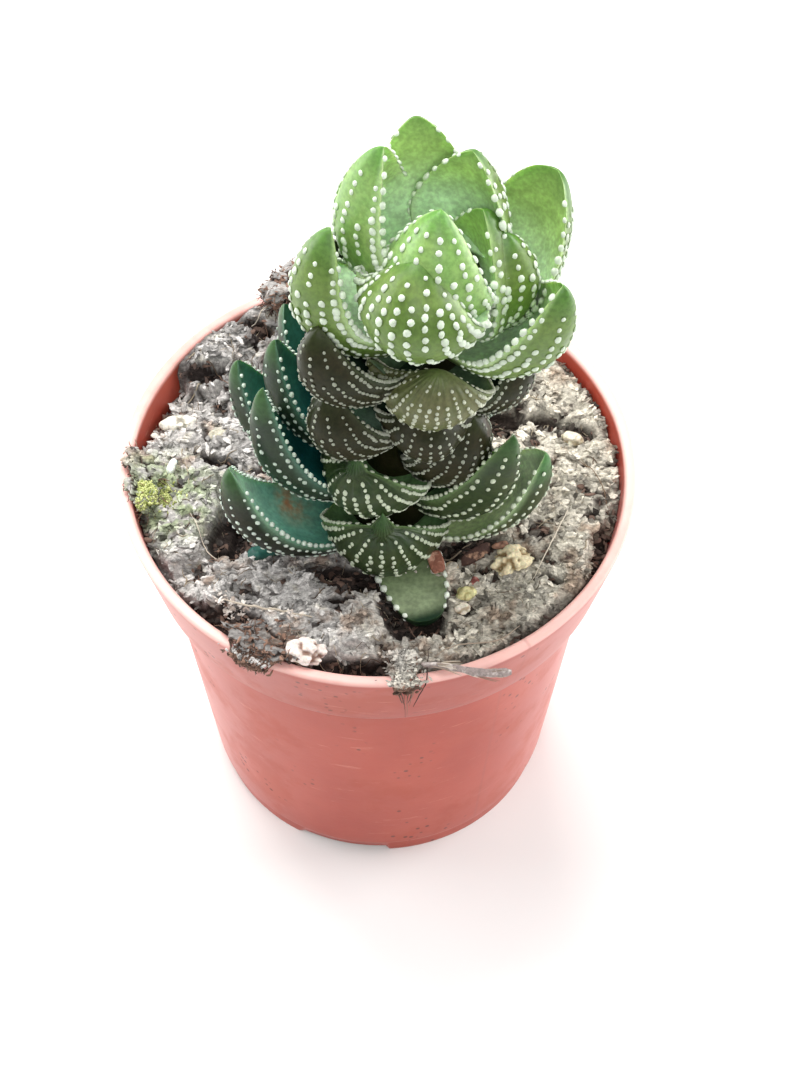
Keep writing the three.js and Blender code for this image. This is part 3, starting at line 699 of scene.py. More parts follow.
def leaf_rings(leaf):
    """Rows along s, closer together near the tip, and columns around the section.

    With t even from 0 to 1, s = 1 - (1 - t)^1.7, and the columns are sines, close at the margins.
    """
    t = np.linspace(0, 1, FAR_ROWS if leaf.behind else LEAF_ROWS)
    s = (1 - (1 - t) ** ROW_CROWDING) * LAST_ROW
    columns = FAR_COLUMNS if leaf.behind else RIDGED_COLUMNS if leaf.ridged else BACK_COLUMNS
    v = np.linspace(-1, 1, columns + 1)
    u_back = np.sin(np.pi / 2 * v)
    u_inner = np.sin(np.pi / 2 * np.linspace(1, -1, INNER_COLUMNS + 1))[1:-1]
    back = leaf.point(u_back[None, :], s[:, None], 1.0)
    if leaf.ridged:
        rows = dot_plan(leaf)[1]
        wave = RIDGE_HEIGHT * np.cos(np.pi * rows * (v + 1)) * smoothstep(0.98, 0.8, np.abs(v))
        inward = leaf.frame_at(s)[2]
        fade = smoothstep(0.05, 0.3, s) * smoothstep(1.0, 0.85, s)
        back = back - (wave[None, :] * fade[:, None])[..., None] * inward[:, None, :]
    inner = leaf.point(u_inner[None, :], s[:, None], 0.0)
    rings = np.concatenate([back, inner], 1)
    u = np.concatenate([u_back, u_inner])
    on_back = np.arange(len(u)) < len(u_back)
    inner_mask = np.where(on_back, smoothstep(0.93, 1.0, np.abs(u)) * 0.5, 1.0)
    margin = smoothstep(0.90, 1.0, np.abs(u))
    blot = 0.0 * s[:, None] * u[None, :]
    if leaf.blot:
        aside = (u[None, :] - leaf.blot[0]) / BLOT_HALF_WIDTH
        ahead = (s[:, None] - leaf.blot[1]) / BLOT_HALF_LENGTH
        blot = np.exp(-(aside ** 2 + ahead ** 2)) * ~on_back[None, :]
    masks = {"along": s[:, None], "inner": inner_mask[None, :], "margin": margin[None, :], "blot": blot}
    return rings, masks


def grow_leaf(leaf):
    """The flesh of one leaf, its skin slightly uneven."""
    rings, attributes = leaf_rings(leaf)
    rings = rings + SKIN_ROUGHNESS * np.stack(
        [value_noise(rings, 3.0, seed) for seed in (3, 4, 5)], -1)
    piece = ring_piece("leaf_" + leaf.name, rings, attributes)
    piece.data.materials.append(skin_materials[leaf.skin])
    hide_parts("leafy_stem")


for leaf in leaves:
    grow_leaf(leaf)
print("leaves grown:", len(leaves))

# %% [markdown]
# ## Tubercles
# Tubercles are small domes in lengthwise rows on the back, with a closer row along each margin that
# also shows from the inner side. A dome low on the leaf is drawn out into a dash, and near the tip
# the skin is bare.

# %% Place and raise the tubercles
# Sides of a dome and the levels of its rings
CROWN_DOME = (8, np.radians([-25, 18, 52]))
SMALL_DOME = (7, np.radians([-25, 38]))
# Part of the leaf that holds dots, in s, on the back and along the margins
DOTS_FROM, DOTS_TO = 0.12, (0.90, 0.95)
MARGIN_FROM, MARGIN_TO, YOUNG_MARGIN_TO = 0.15, 0.96, 0.985
MISSING_SHARE = 0.04
# How far a margin dot leans to the inner side and stands in from the edge
MARGIN_LEAN, MARGIN_INWARD = 0.6, 0.18


def dot_places(leaf, rng):
    """Rows of dots: u, s and radius of each, and whether it stands on a margin.

    Rows are even in angle round the back. Where the leaf narrows, every other row stops.
    """
    (spacing, pitch, radius, margin_pitch, margin_radius), rows = dot_plan(leaf)
    steps = np.linspace(0, 1, 200)
    ridge = leaf.point(0.0, steps, 1.0)
    length = np.concatenate([[0], np.cumsum(np.linalg.norm(np.diff(ridge, axis=0), axis=1))])
    found = []
    for row in range(1, rows):
        v = 2 * row / rows - 1
        count = int(length[-1] / pitch)
        s = np.interp((np.arange(count) + 0.5 * (row % 2)) * pitch, length, steps)
        s = s + rng.normal(0, 0.08, count) * pitch / length[-1]
        keep = (s > DOTS_FROM) & (s < rng.uniform(*DOTS_TO))
        gap = leaf.width_at(s) * 2.4 / rows
        keep &= (gap > 0.6 * spacing) | ((row % 2 == rows // 2 % 2) & (gap > 0.3 * spacing))
        keep &= rng.random(count) > MISSING_SHARE
        s = s[keep]
        u = np.sin(np.pi / 2 * np.clip(v + rng.normal(0, 0.12 / rows, len(s)), -0.97, 0.97))
        found.append(np.stack([u, s, np.full(len(s), radius), np.zeros(len(s))], 1))
    margin_to = YOUNG_MARGIN_TO if leaf.young else MARGIN_TO
    for side in (-1, 1):
        count = int(length[-1] / margin_pitch)
        s = np.interp((np.arange(count) + 0.5) * margin_pitch, length, steps)
        s = s[(s > MARGIN_FROM) & (s < margin_to)]
        found.append(np.stack([np.full(len(s), float(side)), s,
                               np.full(len(s), margin_radius), np.ones(len(s))], 1))
    u, s, radius, margin = np.concatenate(found).T
    radius = radius * rng.uniform(0.8, 1.2, len(u)) * (1 - 0.3 * smoothstep(0.7, 0.97, s))
    if leaf.young:
        radius = radius * (0.5 + 0.5 * smoothstep(0.12, 0.5, s))
    return u, s, radius, margin > 0.5


def dot_frames(leaf, u, s, margin):
    """Place, outward normal, across and along of each dot; a margin dot leans to the inner side."""
    inside = np.clip(u, -0.985, 0.985)
    step = 0.004
    place = leaf.point(inside, s, 1.0)
    across = leaf.point(np.clip(inside + step, -1, 1), s, 1.0) - leaf.point(inside - step, s, 1.0)
    along = unit(leaf.point(inside, s + step, 1.0) - leaf.point(inside, s - step, 1.0))
    normal = unit(np.cross(along, across))
    centre, side, inward, _ = leaf.frame_at(s)
    out = unit(place - (centre - inward * leaf.depth_at(s)[..., None] * 0.4))
    normal = np.where((normal * out).sum(-1, keepdims=True) < 0, -normal, normal)
    leaning = unit(side * np.sign(u)[:, None] + MARGIN_LEAN * inward)
    at_edge = leaf.point(np.sign(u), s, 1.0) + MARGIN_INWARD * inward
    normal = np.where(margin[:, None], leaning, normal)
    place = np.where(margin[:, None], at_edge, place)
    return place, normal, unit(np.cross(normal, along)), along


def dot_domes(leaf, rng, sides, levels):
    """Domes as rings of points at rising levels of an ellipsoid, and an apex; also how high each is.

    A ring at level a has the radius r cos a and stands h sin a above the skin.
    """
    u, s, radius, margin = dot_places(leaf, rng)
    place, normal, across, along = dot_frames(leaf, u, s, margin)
    dash = 0.25 if leaf.young else 0.6
    stretch = 1 + dash * smoothstep(0.42, 0.22, s) + rng.uniform(0, 0.3, len(s))
    stretch = np.where(leaf.ridged & ~margin, stretch * 1.1, stretch)
    height = radius * rng.uniform(0.6, 0.82, len(s))
    angle = np.linspace(0, 2 * np.pi, sides, endpoint=False)
    round_off = 1 + rng.uniform(-0.1, 0.1, (len(s), sides))
    rings = []
    for level in levels:
        flat = (math.cos(level) * radius[:, None] * round_off)[..., None] * (
            np.cos(angle)[None, :, None] * across[:, None, :]
            + (stretch[:, None] * np.sin(angle)[None, :])[..., None] * along[:, None, :])
        rise = (math.sin(level) * height)[:, None, None] * normal[:, None, :]
        rings.append(place[:, None, :] + flat + rise)
    apex = (place + height[:, None] * normal)[:, None, :]
    lift = np.concatenate([np.full(sides, math.sin(level)) for level in levels] + [[1.0]])
    points = np.concatenate(rings + [apex], 1)
    return points, np.where(margin[:, None], np.maximum(lift, 0.5), lift)


def dome_faces(count, sides, levels):
    """Faces of count domes: quads between levels, a fan to the apex and a closed foot."""
    j = np.arange(sides)
    nxt = (j + 1) % sides
    quads = np.concatenate([np.stack([
        k * sides + j, k * sides + nxt, (k + 1) * sides + nxt, (k + 1) * sides + j], -1)
        for k in range(levels - 1)])
    top = (levels - 1) * sides
    fan = np.stack([top + j, top + nxt, np.full(sides, levels * sides)], -1)
    foot = j[::-1][None, :]
    return [repeated(part, count, levels * sides + 1) for part in (quads, fan, foot)]


def cover_with_tubercles(leaf, rng):
    """All domes of one leaf as one piece; returns how many there are."""
    sides, levels = CROWN_DOME if leaf.young else SMALL_DOME
    points, lift = dot_domes(leaf, rng, sides, levels)
    faces = dome_faces(len(points), sides, len(levels))
    piece = make_piece("tubercles_" + leaf.name, points, faces, {"lift": lift})
    piece.data.materials.append(tubercle_materials[leaf.skin])
    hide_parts("leafy_stem")
    return len(points)


# The foot of an old leaf: middle, turn, and half sizes towards the stem, away from it, across and up
OLD_FOOT_MIDDLE, OLD_FOOT_TURN = (-19.8, -15.2, 71.8), 25
OLD_FOOT_INWARD, OLD_FOOT_OUTWARD, OLD_FOOT_ACROSS, OLD_FOOT_UP = 17.0, 1.7, 1.5, 0.95


def old_leaf_end():
    """What is left of an old leaf under the low left one: a flat ball, drawn out to the stem."""
    along, around = np.meshgrid(np.linspace(0.05, np.pi - 0.05, 30),
                                np.linspace(0, 2 * np.pi, 24, endpoint=False), indexing="ij")
    x = np.where(along < np.pi / 2, OLD_FOOT_INWARD, OLD_FOOT_OUTWARD) * np.cos(along)
    y = OLD_FOOT_ACROSS * np.sin(along) * np.cos(around)
    z = OLD_FOOT_UP * np.sin(along) * np.sin(around)
    rings = np.stack([x, y, z], -1) @ turn_about_z(OLD_FOOT_TURN).T + np.array(OLD_FOOT_MIDDLE)
    rings = rings + 0.45 * value_noise(rings, 1.3, 33)[..., None]
    masks = {"along": 0.6 + 0 * x, "inner": 0.55 * smoothstep(-0.4, 0.6, z),
             "margin": 0 * x, "blot": 0 * x}
    piece = ring_piece("old_leaf_end", rings, masks)
    piece.data.materials.append(skin_materials["teal"])
    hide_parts("leafy_stem")


old_leaf_end()
leaf_rng = np.random.default_rng(7)
print("tubercles:", sum(cover_with_tubercles(leaf, leaf_rng) for leaf in leaves))

# %% [markdown]
# ## Stem
# Only slivers of the stem show between the leaves, so it is a plain leaning cone with a rough,
# brownish green bark.

# %% Make the stem
STEM_DEPTH, STEM_TOP, STEM_RADIUS, STEM_TOP_RADIUS = 20, 61, 8.0, 5.0
STEM_SIDES, STEM_ROWS = 40, 50


def make_stem():
    """Circles about the leaning axis; the radius falls from the mix to the top, and is uneven."""
    h = np.linspace(-STEM_DEPTH, STEM_TOP, STEM_ROWS)[:, None]
    azimuth = np.linspace(0, 360, STEM_SIDES, endpoint=False)[None, :]
    radius = np.interp(h, [-STEM_DEPTH, 0, STEM_TOP - 3, STEM_TOP],
                       [STEM_RADIUS - 1, STEM_RADIUS, STEM_TOP_RADIUS, STEM_TOP_RADIUS / 2])
    rings = polar(azimuth, radius - 0.15, STEM_SOIL_Z + h)
    rings = rings + np.stack([STEM_X + STEM_LEAN * h, STEM_Y + 0 * h, 0 * h], -1)
    rings = rings + 0.12 * value_noise(rings, 2.0, 9)[..., None]
    piece = ring_piece("stem", rings, {"along": (h - h.min()) / np.ptp(h), "inner": 0 * h,
                                      "margin": 0 * h, "blot": 0 * h})
    piece.data.materials.append(skin_materials["olive"])
    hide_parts("leafy_stem")


make_stem()
print("stem from", STEM_SOIL_Z - STEM_DEPTH, "to", STEM_SOIL_Z + STEM_TOP, "mm")

# %% [markdown]
# ## Pot
# The pot is moulded plastic about 1.2 mm thick. Its wall is a profile carried round the axis; the
# corners of the profile are arcs, because a mould has no sharp edges. The foot ring is cut away at
# three notches, where its lower edge rises.

# %% Turn the pot
POT_HEIGHT, RIM_RADIUS, LIP_WIDTH = 75.5, 42.5, 2.0
COLLAR_HEIGHT, COLLAR_FOOT_RADIUS, COLLAR_WALL = 15.9, 38.85, 1.3
WALL_TOP_RADIUS, WALL_FOOT_RADIUS, WALL = 36.5, 30.6, 1.2
FOOT_RADIUS, FOOT_HEIGHT, FOOT_WALL, FLOOR_THICKNESS = 29.75, 3.6, 1.3, 1.5
NOTCH_AZIMUTHS, NOTCH_ANGLE, NOTCH_HEIGHT = (-13, 107, 227), 31, 1.8
DRAIN_COUNT, DRAIN_RADIUS, DRAIN_CIRCLE = 4, 3.0, 18.0
POT_SEGMENTS, HOLE_SIDES = 240, 40
LIP_WOBBLE = 0.12
SHOULDER = POT_HEIGHT - COLLAR_HEIGHT

# Corners of the profile as radius, height and rounding, from the middle of the underside round to
# the middle of the floor.
POT_CORNERS = [
    (0.0, FOOT_HEIGHT, 0),
    (FOOT_RADIUS - FOOT_WALL, FOOT_HEIGHT, 0.4),
    (FOOT_RADIUS - FOOT_WALL, 0.0, 0.3),
    (FOOT_RADIUS, 0.0, 0.4),
    (FOOT_RADIUS + 0.25, FOOT_HEIGHT - 0.3, 0.3),
    (WALL_FOOT_RADIUS, FOOT_HEIGHT + 0.3, 0.5),
    (WALL_TOP_RADIUS, SHOULDER, 0.5),
    (COLLAR_FOOT_RADIUS, SHOULDER, 0.7),
    (RIM_RADIUS - 0.05, POT_HEIGHT - 0.1, 0.75),
    (RIM_RADIUS - LIP_WIDTH, POT_HEIGHT - 0.1, 0.7),
    (COLLAR_FOOT_RADIUS - COLLAR_WALL, SHOULDER + WALL, 0.8),
    (WALL_TOP_RADIUS - WALL, SHOULDER - 0.6, 0.8),
    (WALL_FOOT_RADIUS - WALL, FOOT_HEIGHT + FLOOR_THICKNESS, 1.0),
    (0.0, FOOT_HEIGHT + FLOOR_THICKNESS, 0),
]


def rounded_profile(corners, step=2.4, arc_points=6):
    """Straight runs cut into equal steps, with each corner replaced by a quadratic arc."""
    points = []
    for i, (r, z, rounding) in enumerate(corners):
        here = np.array([r, z])
        if rounding == 0:
            points.append(here)
            continue
        before = np.array(corners[i - 1][:2]) - here
        after = np.array(corners[i + 1][:2]) - here
        start = here + before / np.linalg.norm(before) * rounding
        end = here + after / np.linalg.norm(after) * rounding
        for t in np.linspace(0, 1, arc_points):
            points.append((1 - t) ** 2 * start + 2 * t * (1 - t) * here + t ** 2 * end)
    dense = [points[0]]
    for a, b in zip(points[:-1], points[1:]):
        count = max(1, int(np.ceil(np.linalg.norm(b - a) / step)))
        dense.extend(a + (b - a) * k / count for k in range(1, count + 1))
    return np.array(dense)


def in_notch(azimuth):
    """1 inside a notch's angle and 0 outside, with sides one degree wide."""
    mask = 0.0
    for middle in NOTCH_AZIMUTHS:
        off = np.abs((azimuth - middle + 180) % 360 - 180)
        mask = mask + smoothstep(NOTCH_ANGLE / 2 + 0.5, NOTCH_ANGLE / 2 - 0.5, off)
    return mask


def cut_holes(piece, centres, radius, z_low, z_high):
    """Cuts round holes by Boolean difference and keeps the result as the mesh."""
    for n, (x, y) in enumerate(centres):
        angle = np.linspace(0, 2 * np.pi, HOLE_SIDES, endpoint=False)
        ring = np.stack([x + radius * np.cos(angle), y + radius * np.sin(angle), 0 * angle], -1)
        rings = np.stack([ring + (0, 0, z_low), ring + (0, 0, z_high)])
        cutter = ring_piece(f"drain_cutter_{n}", rings)
        modifier = piece.modifiers.new("drain", "BOOLEAN")
        modifier.operation = "DIFFERENCE"
        modifier.object = cutter
        evaluated = piece.evaluated_get(bpy.context.evaluated_depsgraph_get())
        finished = bpy.data.meshes.new_from_object(evaluated)
        piece.modifiers.clear()
        piece.data = finished
        bpy.data.objects.remove(cutter)


def make_pot():
    """The profile turned round the axis, a little pressed in at the lip, then drilled."""
    profile = rounded_profile(POT_CORNERS)[1:-1]
    azimuth = np.linspace(0, 360, POT_SEGMENTS, endpoint=False)[None, :]
    radius, z = profile[:, :1], profile[:, 1:]
    waves = np.sin(np.radians(3 * azimuth + 40)) + 0.5 * np.sin(np.radians(7 * azimuth))
    wobble = LIP_WOBBLE * smoothstep(40, 75, z) * waves
    in_foot = (radius > FOOT_RADIUS - FOOT_WALL - 0.3) & (z < FOOT_HEIGHT)
    raised = np.where(in_foot, np.maximum(z, NOTCH_HEIGHT * in_notch(azimuth)), z)
    rings = polar(azimuth, radius + np.minimum(wobble, 0.0) * (radius > 30), raised)
    piece = ring_piece("pot_shell", rings)
    drains = polar(45 + 360 / DRAIN_COUNT * np.arange(DRAIN_COUNT), DRAIN_CIRCLE, 0.0)[:, :2]
    cut_holes(piece, drains, DRAIN_RADIUS, FOOT_HEIGHT - 1, FOOT_HEIGHT + FLOOR_THICKNESS + 1)
    piece.data.polygons.foreach_set("use_smooth", np.ones(len(piece.data.polygons), dtype=bool))
    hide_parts("pot")
    return piece


pot_piece = make_pot()
print("pot faces:", len(pot_piece.data.polygons))

# %% [markdown]
# ## Pot finish
# The plastic is a soft salmon terracotta with a satin surface, a shade deeper on the collar, with a thin
# band of painted shade at the collar's foot. Handling left its marks: dust and a painted highlight make
# the lip pale, soil has splashed in dark specks, scuffs run round at the collar's foot, and faint
# scratches and the mould's seam lie over the wall. A painted sheen makes the sides pale where they are
# seen at a slant.

# %% Paint the pot
SEAM_AZIMUTH = 33.5
LIP_DUST_AND_HIGHLIGHT = (74.2, 75.3)


def dirt_group():
    """Two masks on object coordinates: small specks, and soft smudges, each from stacked noise."""
    tree, given, result = new_group(
        "dirt", [("Speck Size", "Float", 1.0), ("Smudge Size", "Float", 12.0)],
        [("Specks", "Float"), ("Smudges", "Float")])
    place = object_place(tree)
    per_metre = maths(tree, "DIVIDE", 1 / MM, given.outputs["Speck Size"])
    cells = add_node(tree, "ShaderNodeTexVoronoi", {
        "Vector": place, "Scale": per_metre, "Randomness": 1.0})
    patchy = add_node(tree, "ShaderNodeTexNoise", {"Vector": place, "Scale": 90.0, "Detail": 2.0})
    speck = reach(tree, cells.outputs["Distance"], 0.26, 0.14)
    rare = reach(tree, patchy.outputs["Fac"], 0.54, 0.62)
    tree.links.new(times(tree, speck, rare), result.inputs["Specks"])
    per_metre = maths(tree, "DIVIDE", 1 / MM, given.outputs["Smudge Size"])
    cloud = add_node(tree, "ShaderNodeTexNoise", {
        "Vector": place, "Scale": per_metre, "Detail": 6.0, "Roughness": 0.62})
    tree.links.new(reach(tree, cloud.outputs["Fac"], 0.45, 0.72), result.inputs["Smudges"])
    return tree


def plastic_color(tree, height, lip):
    """Salmon in soft clouds, a shade deeper on the collar, painted shade at its foot, dust and a painted
    highlight on the lip.
    """
    deep, pale = linear(161, 60, 43), linear(175, 73, 54)
    color = blend(tree, deep, pale, reach(tree, noise(tree, 22.0, 3.0), 0.3, 0.7))
    on_collar = reach(tree, height, (SHOULDER - 0.5) * MM, (SHOULDER + 1.5) * MM, 1.0, 0.93)
    # A thin band of painted shade at the collar's foot dims the highlight on the ledge there.
    from_foot = maths(tree, "ABSOLUTE", maths(tree, "SUBTRACT", height, (SHOULDER + 0.3) * MM))
    color = shaded(tree, color, on_collar)
    color = shaded(tree, color, reach(tree, from_foot, 0.3 * MM, 1.2 * MM, 0.84, 1.0))
    # The pale lip is dust together with a painted highlight where it faces the light above.
    return blend(tree, color, linear(240, 192, 184), times(tree, lip, 0.88))


def painted_side_sheen(tree):
    """How much painted sheen a wall gets: more where it is seen at a slant, and not from below."""
    slant = add_node(tree, "ShaderNodeLayerWeight", {"Blend": 0.35}).outputs["Facing"]
    facing_up = one_axis(tree, add_node(tree, "ShaderNodeNewGeometry").outputs["Normal"], "Z")
    return times(tree, reach(tree, slant, 0.45, 0.95, 0.0, 0.64), reach(tree, facing_up, -0.6, -0.15))


def towards(tree, azimuth):
    """How far a point lies from the axis towards an azimuth, in metres."""
    way = tuple(polar(azimuth, 1.0, 0.0))
    node = add_node(tree, "ShaderNodeVectorMath", {0: object_place(tree), 1: way},
                    operation="DOT_PRODUCT")
    return node.outputs["Value"]


def seam_mask(tree):
    """1 on the mould's seam, a thin upright line at one azimuth."""
    aside = maths(tree, "ABSOLUTE", towards(tree, SEAM_AZIMUTH + 90))
    in_front = reach(tree, towards(tree, SEAM_AZIMUTH), 0.0, 10 * MM)
    return times(tree, reach(tree, aside, 0.4 * MM, 0.1 * MM), in_front)


def scuff_mask(tree, height):
    """1 in scuffs that run round, in a band about the collar's foot."""
    rise, fall = (SHOULDER - 3) * MM, (SHOULDER + 7) * MM
    above = reach(tree, height, rise, rise + 3 * MM)
    band = times(tree, above, reach(tree, height, fall, fall - 3 * MM))
    scuff = reach(tree, noise(tree, 4.0, 5.0, 0.7, stretch=(1, 1, 5), offset=(3, 5, 2)), 0.60, 0.68)
    return times(tree, scuff, band)


def pot_material():
    """Salmon plastic, with painted sheen, seam, smudges, specks, scratches and scuffs laid over it in
    turn.
    """
    material, tree, shader = new_material("pot_plastic")
    height = one_axis(tree, object_place(tree), "Z")
    marks = use_group(tree, dirt, {"Speck Size": 1.9, "Smudge Size": 16.0})
    # Where the lip's dust and painted highlight begin and are full
    lip = reach(tree, height, LIP_DUST_AND_HIGHLIGHT[0] * MM, LIP_DUST_AND_HIGHLIGHT[1] * MM)
    off_lip = reach(tree, lip, 0.0, 0.5, 0.8, 0.0)
    scratch = reach(tree, noise(tree, 9.0, 6.0, 0.7, stretch=(1, 1, 9)), 0.62, 0.68)
    color = plastic_color(tree, height, lip)
    for paint, mask in (
            # Painted sheen on walls seen at a slant
            ((210, 149, 146), painted_side_sheen(tree)),
            ((150, 78, 70), times(tree, seam_mask(tree), 0.25)),
            ((170, 104, 88), times(tree, marks.outputs["Smudges"], 0.30)),
            ((88, 40, 34), times(tree, marks.outputs["Specks"], off_lip)),
            ((226, 160, 142), times(tree, scratch, 0.22)),
            ((112, 58, 50), times(tree, scuff_mask(tree, height), 0.5))):
        color = blend(tree, color, linear(*paint), mask)
    tree.links.new(color, shader.inputs["Base Color"])
    rough = reach(tree, marks.outputs["Smudges"], 0.0, 1.0, 0.42, 0.62)
    tree.links.new(rough, shader.inputs["Roughness"])
    uneven = maths(tree, "ADD", noise(tree, 1.2, 4.0), noise(tree, 14.0, 2.0))
    tree.links.new(bump(tree, uneven, 0.2, 0.12), shader.inputs["Normal"])
    shader.inputs["Subsurface Weight"].default_value = 0.12
    shader.inputs["Subsurface Radius"].default_value = (0.9, 0.35, 0.25)
    shader.inputs["Subsurface Scale"].default_value = 0.004
    return material


dirt = dirt_group()
pot_piece.data.materials.clear()
pot_piece.data.materials.append(pot_material())
print("pot painted:", len(bpy.data.materials["pot_plastic"].node_tree.nodes), "nodes")

# %% [markdown]
# ## Potting mix
# The mix is peaty and was watered from above, so its top has dried to a crumbly crust. The crust
# broke into a few plates with steep edges, the highest at the back left, and it sank along the wall
# and beside the lowest leaves. Its height is a sum: the tilt of the solid's top, plates and hollows
# at the places seen in the photograph, and billows, which are the absolute value of noise: rounded
# lumps that meet in sharp creases.

# %% The height of the mix
GAP = 0.3
SOIL_LEVEL, SOIL_TILT, SOIL_SIDE_TILT = 72.2, 0.035, 0.6
CRUST_SINK, WALL_SINK = 0.3, 1.0
# x, y, half length, half width, turn in degrees and rise of each plate, in mm
PLATES = [
    (-12.5, -27.5, 15, 8.5, -20, 2.2), (-33, -5, 14, 7.5, 100, 1.7), (28.5, -19, 15, 8, 62, 1.5),
    (7, -36, 7.5, 4.5, 10, 1.5), (34, 1, 8, 5, 85, 1.0), (-25, 29.5, 14, 7.5, 40, 3.2),
    (12, 33, 11, 6, 20, 0.9), (34, 21, 7, 4, 110, 0.8), (-29, -24, 5, 4, 30, 0.9),
    (-27.5, 31, 15, 6.5, 46, 2.6),
]
# x, y, half length, half width, turn in degrees and drop of each hollow, in mm
HOLLOWS = [
    (-24.3, -11.6, 5.4, 3.7, 62, 5.4), (-36.6, 14.5, 5, 1.8, 112, 3.4), (20.2, 13, 5.2, 3.6, 15, 4.4),
    (13.5, -14.8, 7, 2.6, 12, 2.6), (-5.5, -20.5, 7, 3, -10, 2.8), (5.5, -27.5, 6, 5, 90, 3.4),
    (-3, -37.6, 8.5, 2.1, 2, 3.8), (-26.5, -29.6, 8, 2.2, -45, 2.6), (36.2, -15, 6, 2, 68, 2.6),
    (27.6, 12.3, 4.6, 1.8, -12, 3.0), (33.6, 9.6, 4, 1.8, -35, 3.0), (-14, 38.5, 6, 1.6, 15, 2.0),
    (-28.5, 20.8, 5, 1.2, 0, 2.2), (-21, 30.4, 2.8, 1.5, -15, 2.6), (26.6, -21.8, 3.2, 0.9, -20, 2.0),
    (-26.8, 4.4, 4, 1.2, -25, 2.4), (-21.5, -28.8, 4, 2, -30, 2.2), (-6.2, -25.6, 2.2, 0.9, 5, 1.8),
]
# x, y, radius and height of the ground under each loose piece, in mm
SEATS = [
    (-33, 11.6, 3.0, 71.9), (-34, 2, 1.8, 72.8), (32.3, 7.3, 2.6, 72.4), (21.2, -18, 3.8, 73.3),
    (13.9, -24, 2.2, 73.1), (13.1, -26.9, 1.8, 73.1), (15.5, -16.2, 2.6, 72.3),
]


def inner_radius(z):
    """The pot's inside radius at a height, between the corners of its inner wall."""
    return np.interp(z, [FOOT_HEIGHT + FLOOR_THICKNESS, SHOULDER - 0.6, SHOULDER + WALL, POT_HEIGHT],
                     [WALL_FOOT_RADIUS - WALL, WALL_TOP_RADIUS - WALL,
                      COLLAR_FOOT_RADIUS - COLLAR_WALL, RIM_RADIUS - LIP_WIDTH])


# Height at which the crust meets the wall, and the wall's radius there
MIX_EDGE_HEIGHT = 73
MIX_RADIUS = inner_radius(MIX_EDGE_HEIGHT)


def oval_mask(x, y, oval, edge):
    """1 inside a turned oval and 0 outside; its rim is frayed by noise."""
    cx, cy, half_length, half_width, turn = oval[:5]
    c, s = math.cos(math.radians(turn)), math.sin(math.radians(turn))
    along, across = c * (x - cx) + s * (y - cy), c * (y - cy) - s * (x - cx)
    far = np.hypot(along / half_length, across / half_width)
    far = far + 0.22 * rough_noise(np.stack([x, y, 0 * x], -1), 5.0, 3, 71)
    return smoothstep(1.0 + edge, 1.0 - edge, far)


def billow(flat, size, seed):
    """The absolute value of noise, moved to lie about zero."""
    return 2.2 * np.abs(value_noise(flat, size, seed)) - 0.6


def soil_height(x, y):
    """Height of the mix in mm at x, y, and how deep a crease a point lies in, from 0 to 1, which sets its
    painted shade.

    The tilted top, plus the plates, less the hollows, flat under each loose piece and sunk beside
    the wall; then crumbs of four sizes, as billows and noise on a warped plane.
    """
    flat = np.stack([x, y, 0 * x], -1)
    height = SOIL_LEVEL - CRUST_SINK - SOIL_TILT * (y - SOIL_SIDE_TILT * x)
    # Painted shade gathers in the hollows and beside the wall.
    hollow_shade = 0.0
    for plate in PLATES:
        height = height + plate[5] * oval_mask(x, y, plate, 0.07)
    for hollow in HOLLOWS:
        sunk = oval_mask(x, y, hollow, 0.35)
        height = height - hollow[5] * sunk
        hollow_shade = np.maximum(hollow_shade, smoothstep(0.1, 0.75, sunk))
    for seat_x, seat_y, radius, level in SEATS:
        close = smoothstep(1.7, 0.9, np.hypot(x - seat_x, y - seat_y) / radius)
        height = height + close * (level - height)
    from_wall = MIX_RADIUS - np.hypot(x, y)
    beside_wall = smoothstep(1.8, 0.5, from_wall + 0.8 * value_noise(flat, 4.0, 83))
    height = height - WALL_SINK * beside_wall
    hollow_shade = np.maximum(hollow_shade, 0.8 * beside_wall)
    warp = np.stack([value_noise(flat, 3.0, 91), value_noise(flat, 3.0, 97), 0 * x], -1)
    warped = flat + 0.9 * warp
    crumbs = (0.5 * billow(warped, 5.2, 61) + 0.42 * value_noise(warped, 2.4, 67)
              - 0.34 * billow(warped, 1.7, 73) + 0.3 * value_noise(flat, 0.9, 79))
    crease = np.maximum(smoothstep(-0.1, -0.8, crumbs), hollow_shade)
    return height + crumbs + 0.35 * rough_noise(flat, 9.0, 2, 53), crease


SOIL_SEGMENTS, SOIL_RINGS = 440, 136
SOIL_TOP, INNERMOST = 76.0, 0.012


def make_soil():
    """Rings from the floor up the wall, then inward over the crust to a shut middle."""
    azimuth = np.linspace(0, 360, SOIL_SEGMENTS, endpoint=False)
    wall_z = np.array([FOOT_HEIGHT + FLOOR_THICKNESS + GAP, 30, SHOULDER - 1, SHOULDER + 1, 66])
    wall = np.stack([polar(azimuth, inner_radius(z) - GAP, z) for z in wall_z])
    part = np.linspace(1, INNERMOST, SOIL_RINGS)[:, None, None]
    top = polar(azimuth, MIX_RADIUS - GAP, 0.0)[None] * part
    z, crease = soil_height(top[..., 0], top[..., 1])
    top[..., 2] = np.minimum(z, SOIL_TOP)
    at_wall = part[..., 0] > 0.99
    fit = (inner_radius(np.minimum(z, SOIL_TOP - 1)) - GAP) / (MIX_RADIUS - GAP)
    top[..., :2] *= np.where(at_wall, fit, np.minimum(fit, 1.0))[..., None]
    rings = np.concatenate([wall, top])
    # The mix against the wall is fully dark with painted shade.
    crease = np.concatenate([np.ones(wall.shape[:2]), crease])
    piece = ring_piece("soil_crust", rings, {"crease": crease})
    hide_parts("soil")
    return piece


soil_piece = make_soil()
print("soil faces:", len(soil_piece.data.polygons))

